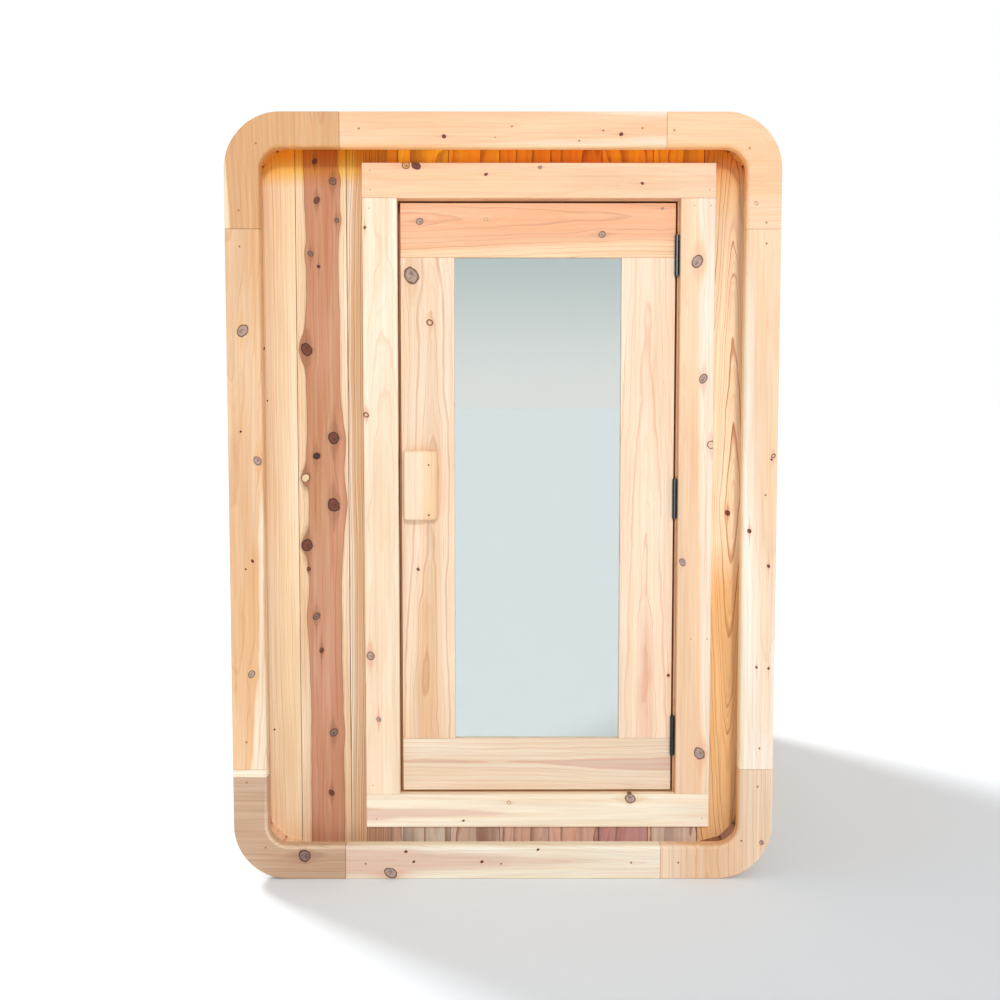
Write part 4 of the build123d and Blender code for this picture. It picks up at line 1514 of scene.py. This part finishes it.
def nail_heads(places, face, proud, radius):
    """Low round heads: rings of falling radius and rising height about each place, shut by a flat face."""
    turn = np.arange(NAIL_POINTS) * 2 * math.pi / NAIL_POINTS
    circle = np.stack([np.cos(turn), np.sin(turn)], axis=1) * radius
    shares = np.array(NAIL_SHARES)
    sections = np.concatenate([circle[None] * shares[:1, :1, None], circle[None] * shares[:, :1, None]])
    depth = np.concatenate([[face + 2 * proud], face - proud * shares[:, 1]])
    rows = len(depth)
    parts = []
    for x, z in places:
        spots = np.stack([np.full(rows, x), depth, np.full(rows, z)], axis=1)
        parts.append(carried(sections, spots, unit_rows(X, rows), unit_rows(Z, rows)))
    return parts


class SAUNA_OT_nails(Operator):
    """Nail heads in the front rim and the casing"""

    bl_idname = "sauna.nails"
    bl_label = "Nail heads"

    def execute(self, context):
        made = mottled_metal(
            "nail_metal", shade("nail"), NAIL_SCALES, NAIL_SWING, NAIL_ROUGH, NAIL_METALLIC, NAIL_RELIEF
        )
        proud = sizes().face_setback
        radius = sizes().nail_radius
        rim_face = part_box("front_rim_left")[0][Y] + proud
        casing_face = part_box("casing_head")[0][Y]
        add_piece("rim_nails", nail_heads(RIM_NAILS, rim_face, proud, radius), [made], "cabin")
        small = nail_heads(CASING_NAILS, casing_face, proud, radius * SMALL_NAIL)
        add_piece("casing_nails", small, [made], "cabin")
        return {"FINISHED"}


# Painted highlight along the crown of the hinge barrels: its width, raggedness, depth and share up the door
CROWN_WIDTH = 0.0018
CROWN_RAGGED = 1.7
CROWN_DEPTH = 2.0
CROWN_SHARES = (0.12, 0.85)
HINGE_SCALES = (240.0, 240.0, 90.0)
HINGE_SWING = 0.6
HINGE_ROUGH = 0.25
HINGE_METALLIC = 0.85
HINGE_RELIEF = 0.00012


class SAUNA_OT_hinges(Operator):
    """Blackened steel of the hinges, with a painted highlight along the crown of the barrel; their solids are
    kept
    """

    bl_idname = "sauna.hinges"
    bl_label = "Hinges"

    def execute(self, context):
        made = mottled_metal(
            "hinge_steel", shade("hinge"), HINGE_SCALES, HINGE_SWING, HINGE_ROUGH, HINGE_METALLIC,
            HINGE_RELIEF, self.painted_crown_highlight,
        )
        for node in ("hinge_door_leaves", "hinge_frame_leaves"):
            dress(node, made)
        return {"FINISHED"}

    def painted_crown_highlight(self, place, cloud, tone):
        """The tone, with a painted highlight in a ragged strip along the crown, more of it higher up the
        door, where it paints the sky's reflection.
        """
        low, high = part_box("hinge_door_leaves")
        x, y, z = split(place)
        ragged = abs(x - (low[X] + high[X]) / 2) + cloud * CROWN_WIDTH
        crown = ramp(ragged, CROWN_RAGGED * CROWN_WIDTH, CROWN_WIDTH)
        crown = crown * ramp(y, low[Y] + CROWN_DEPTH * CROWN_WIDTH, low[Y] + CROWN_WIDTH)
        crown = crown * ramp(z, low[Z], high[Z], *CROWN_SHARES)
        return mix(crown, tone, shade("hinge_glint"))


GLASS_SILVER = 0.78
GLASS_IOR = 1.52
WAVE_SCALE = (1.4, 1.4, 0.9)
WAVE_BUMP = (0.25, 0.002)
SMEAR_SCALE = (9.0, 9.0, 3.0)
SMEAR_ROUGH = (0.45, 0.8, 0.0, 0.05)


class SAUNA_OT_pane(Operator):
    """Glass of the pane, whose solid is kept"""

    bl_idname = "sauna.pane"
    bl_label = "Door pane"

    def execute(self, context):
        material, tree = new_material("pane_glass")
        place = object_place(tree)
        wave = noise(place, WAVE_SCALE, 1.0)[0]
        smear = noise(place, SMEAR_SCALE, 3.0)[0]
        surface(tree, {
            "Base Color": shade("glass"), "Roughness": ramp(smear, *SMEAR_ROUGH), "IOR": GLASS_IOR,
            "Transmission Weight": 1.0, "Metallic": GLASS_SILVER, "Normal": bumped(wave, *WAVE_BUMP),
        })
        dress("door_glass", material)
        return {"FINISHED"}


FLOOR_HALF = 150.0
FLOOR_DROP = 0.0005
FLOOR_ROUGH = 0.9
FRAME_WIDTH = 36.0
KEY_LAMP = ((0.10, -1.0, 0.44), math.radians(8))
FILL_LAMP = ((0.60, -1.0, 0.5), math.radians(60))
BACK_LAMP = ((-0.62, 0.72, 0.64), math.radians(14))
LAMP_REACH = 6.0
DOME_LOW = 0.75
DOME_HIGH = 1.9
SKY_RISE = 0.13
HORIZON_EXTRA = 0.10


class SAUNA_OT_stage(Operator):
    """Pale floor, soft lamps, white surround and camera"""

    bl_idname = "sauna.stage"
    bl_label = "Stage"

    def execute(self, context):
        stage = context.scene.sauna_stage
        corner = np.array([[-1, -1], [1, -1], [1, 1], [-1, 1]]) * FLOOR_HALF
        points = np.column_stack([corner, np.full(4, -FLOOR_DROP)])
        mesh = bpy.data.meshes.new("studio_floor")
        mesh.from_pydata(points.tolist(), [], [[0, 1, 2, 3]])
        floor = bpy.data.objects.new("studio_floor", mesh)
        context.collection.objects.link(floor)
        mesh.materials.append(self.floor_material())
        self.surround(context, stage.ambient)
        for name, (place, spread), power in (
            ("key", KEY_LAMP, stage.key_power), ("fill", FILL_LAMP, stage.fill_power),
            ("back", BACK_LAMP, stage.back_power),
        ):
            lamp = bpy.data.lights.new(name, "SUN")
            lamp.angle = spread
            lamp.energy = power
            made = bpy.data.objects.new(name, lamp)
            made.location = np.array(place) * LAMP_REACH
            flat = math.hypot(place[X], place[Y])
            made.rotation_euler = (math.atan2(flat, place[Z]), 0.0, math.atan2(place[X], -place[Y]))
            context.collection.objects.link(made)
        camera = bpy.data.cameras.new("camera")
        camera.lens = stage.lens
        camera.sensor_width = FRAME_WIDTH
        holder = bpy.data.objects.new("camera", camera)
        holder.location = stage.camera_place
        holder.rotation_euler = (math.pi / 2 - stage.camera_tilt, 0.0, stage.camera_turn)
        context.collection.objects.link(holder)
        context.scene.camera = holder
        context.scene.view_settings.view_transform = "Standard"
        return {"FINISHED"}

    def floor_material(self):
        """Matte pale floor, which the lamps bring to white outside the shadow."""
        material, tree = new_material("studio_floor")
        surface(tree, {"Base Color": shade("floor"), "Roughness": FLOOR_ROUGH, "Specular IOR Level": 0.0})
        return material

    def surround(self, context, ambient):
        """White to the camera and through glass, tinted higher up in reflections, a soft dome elsewhere."""
        world = bpy.data.worlds.new("surround")
        context.scene.world = world
        world.use_nodes = True
        tree = world.node_tree
        tree.nodes.clear()
        path = put(tree, "ShaderNodeLightPath")
        glossy = path["Is Glossy Ray"]
        seen = highest(highest(path["Is Camera Ray"], glossy), path["Is Transmission Ray"])
        rise = split(put(tree, "ShaderNodeTexCoord")["Generated"])[2]
        dome = ramp(rise, 0.0, 1.0, ambient * DOME_LOW, ambient * DOME_HIGH)
        level = put(tree, "ShaderNodeMix", {0: seen, 2: dome, 3: 1.0})[0] + glossy * HORIZON_EXTRA
        colour = mix(ramp(rise, 0.0, SKY_RISE) * glossy, WHITE, shade("sky"))
        light = put(tree, "ShaderNodeBackground", {"Color": colour, "Strength": level})
        put(tree, "ShaderNodeOutputWorld", {"Surface": light[0]})


OPERATORS = (
    SAUNA_OT_front_rim, SAUNA_OT_rear_rim, SAUNA_OT_staves, SAUNA_OT_end_walls, SAUNA_OT_casing,
    SAUNA_OT_leaf, SAUNA_OT_door_frame, SAUNA_OT_pull, SAUNA_OT_nails, SAUNA_OT_hinges, SAUNA_OT_pane,
    SAUNA_OT_stage,
)
GROUPS = {"sauna_sizes": SaunaSizes, "sauna_colours": SaunaColours, "sauna_stage": SaunaStage}


class SAUNA_PT_panel(Panel):
    """Lists the pieces of the sauna"""

    bl_idname = "SAUNA_PT_panel"
    bl_label = "Barrel sauna"
    bl_space_type = "VIEW_3D"
    bl_region_type = "UI"
    bl_category = "Sauna"

    def draw(self, context):
        for made in OPERATORS:
            self.layout.operator(made.bl_idname)
        for name, group in GROUPS.items():
            box = self.layout.box()
            for key in group.__annotations__:
                box.prop(getattr(context.scene, name), key)


CLASSES = (*GROUPS.values(), *OPERATORS, SAUNA_PT_panel)


def register():
    for made in CLASSES:
        bpy.utils.register_class(made)
    for name, group in GROUPS.items():
        setattr(bpy.types.Scene, name, PointerProperty(type=group))


def unregister():
    for name in GROUPS:
        delattr(bpy.types.Scene, name)
    for made in reversed(CLASSES):
        bpy.utils.unregister_class(made)


def main():
    """Make every piece in order."""
    register()
    for made in OPERATORS:
        family, action = made.bl_idname.split(".")
        getattr(getattr(bpy.ops, family), action)()


if __name__ == "__main__":
    main()
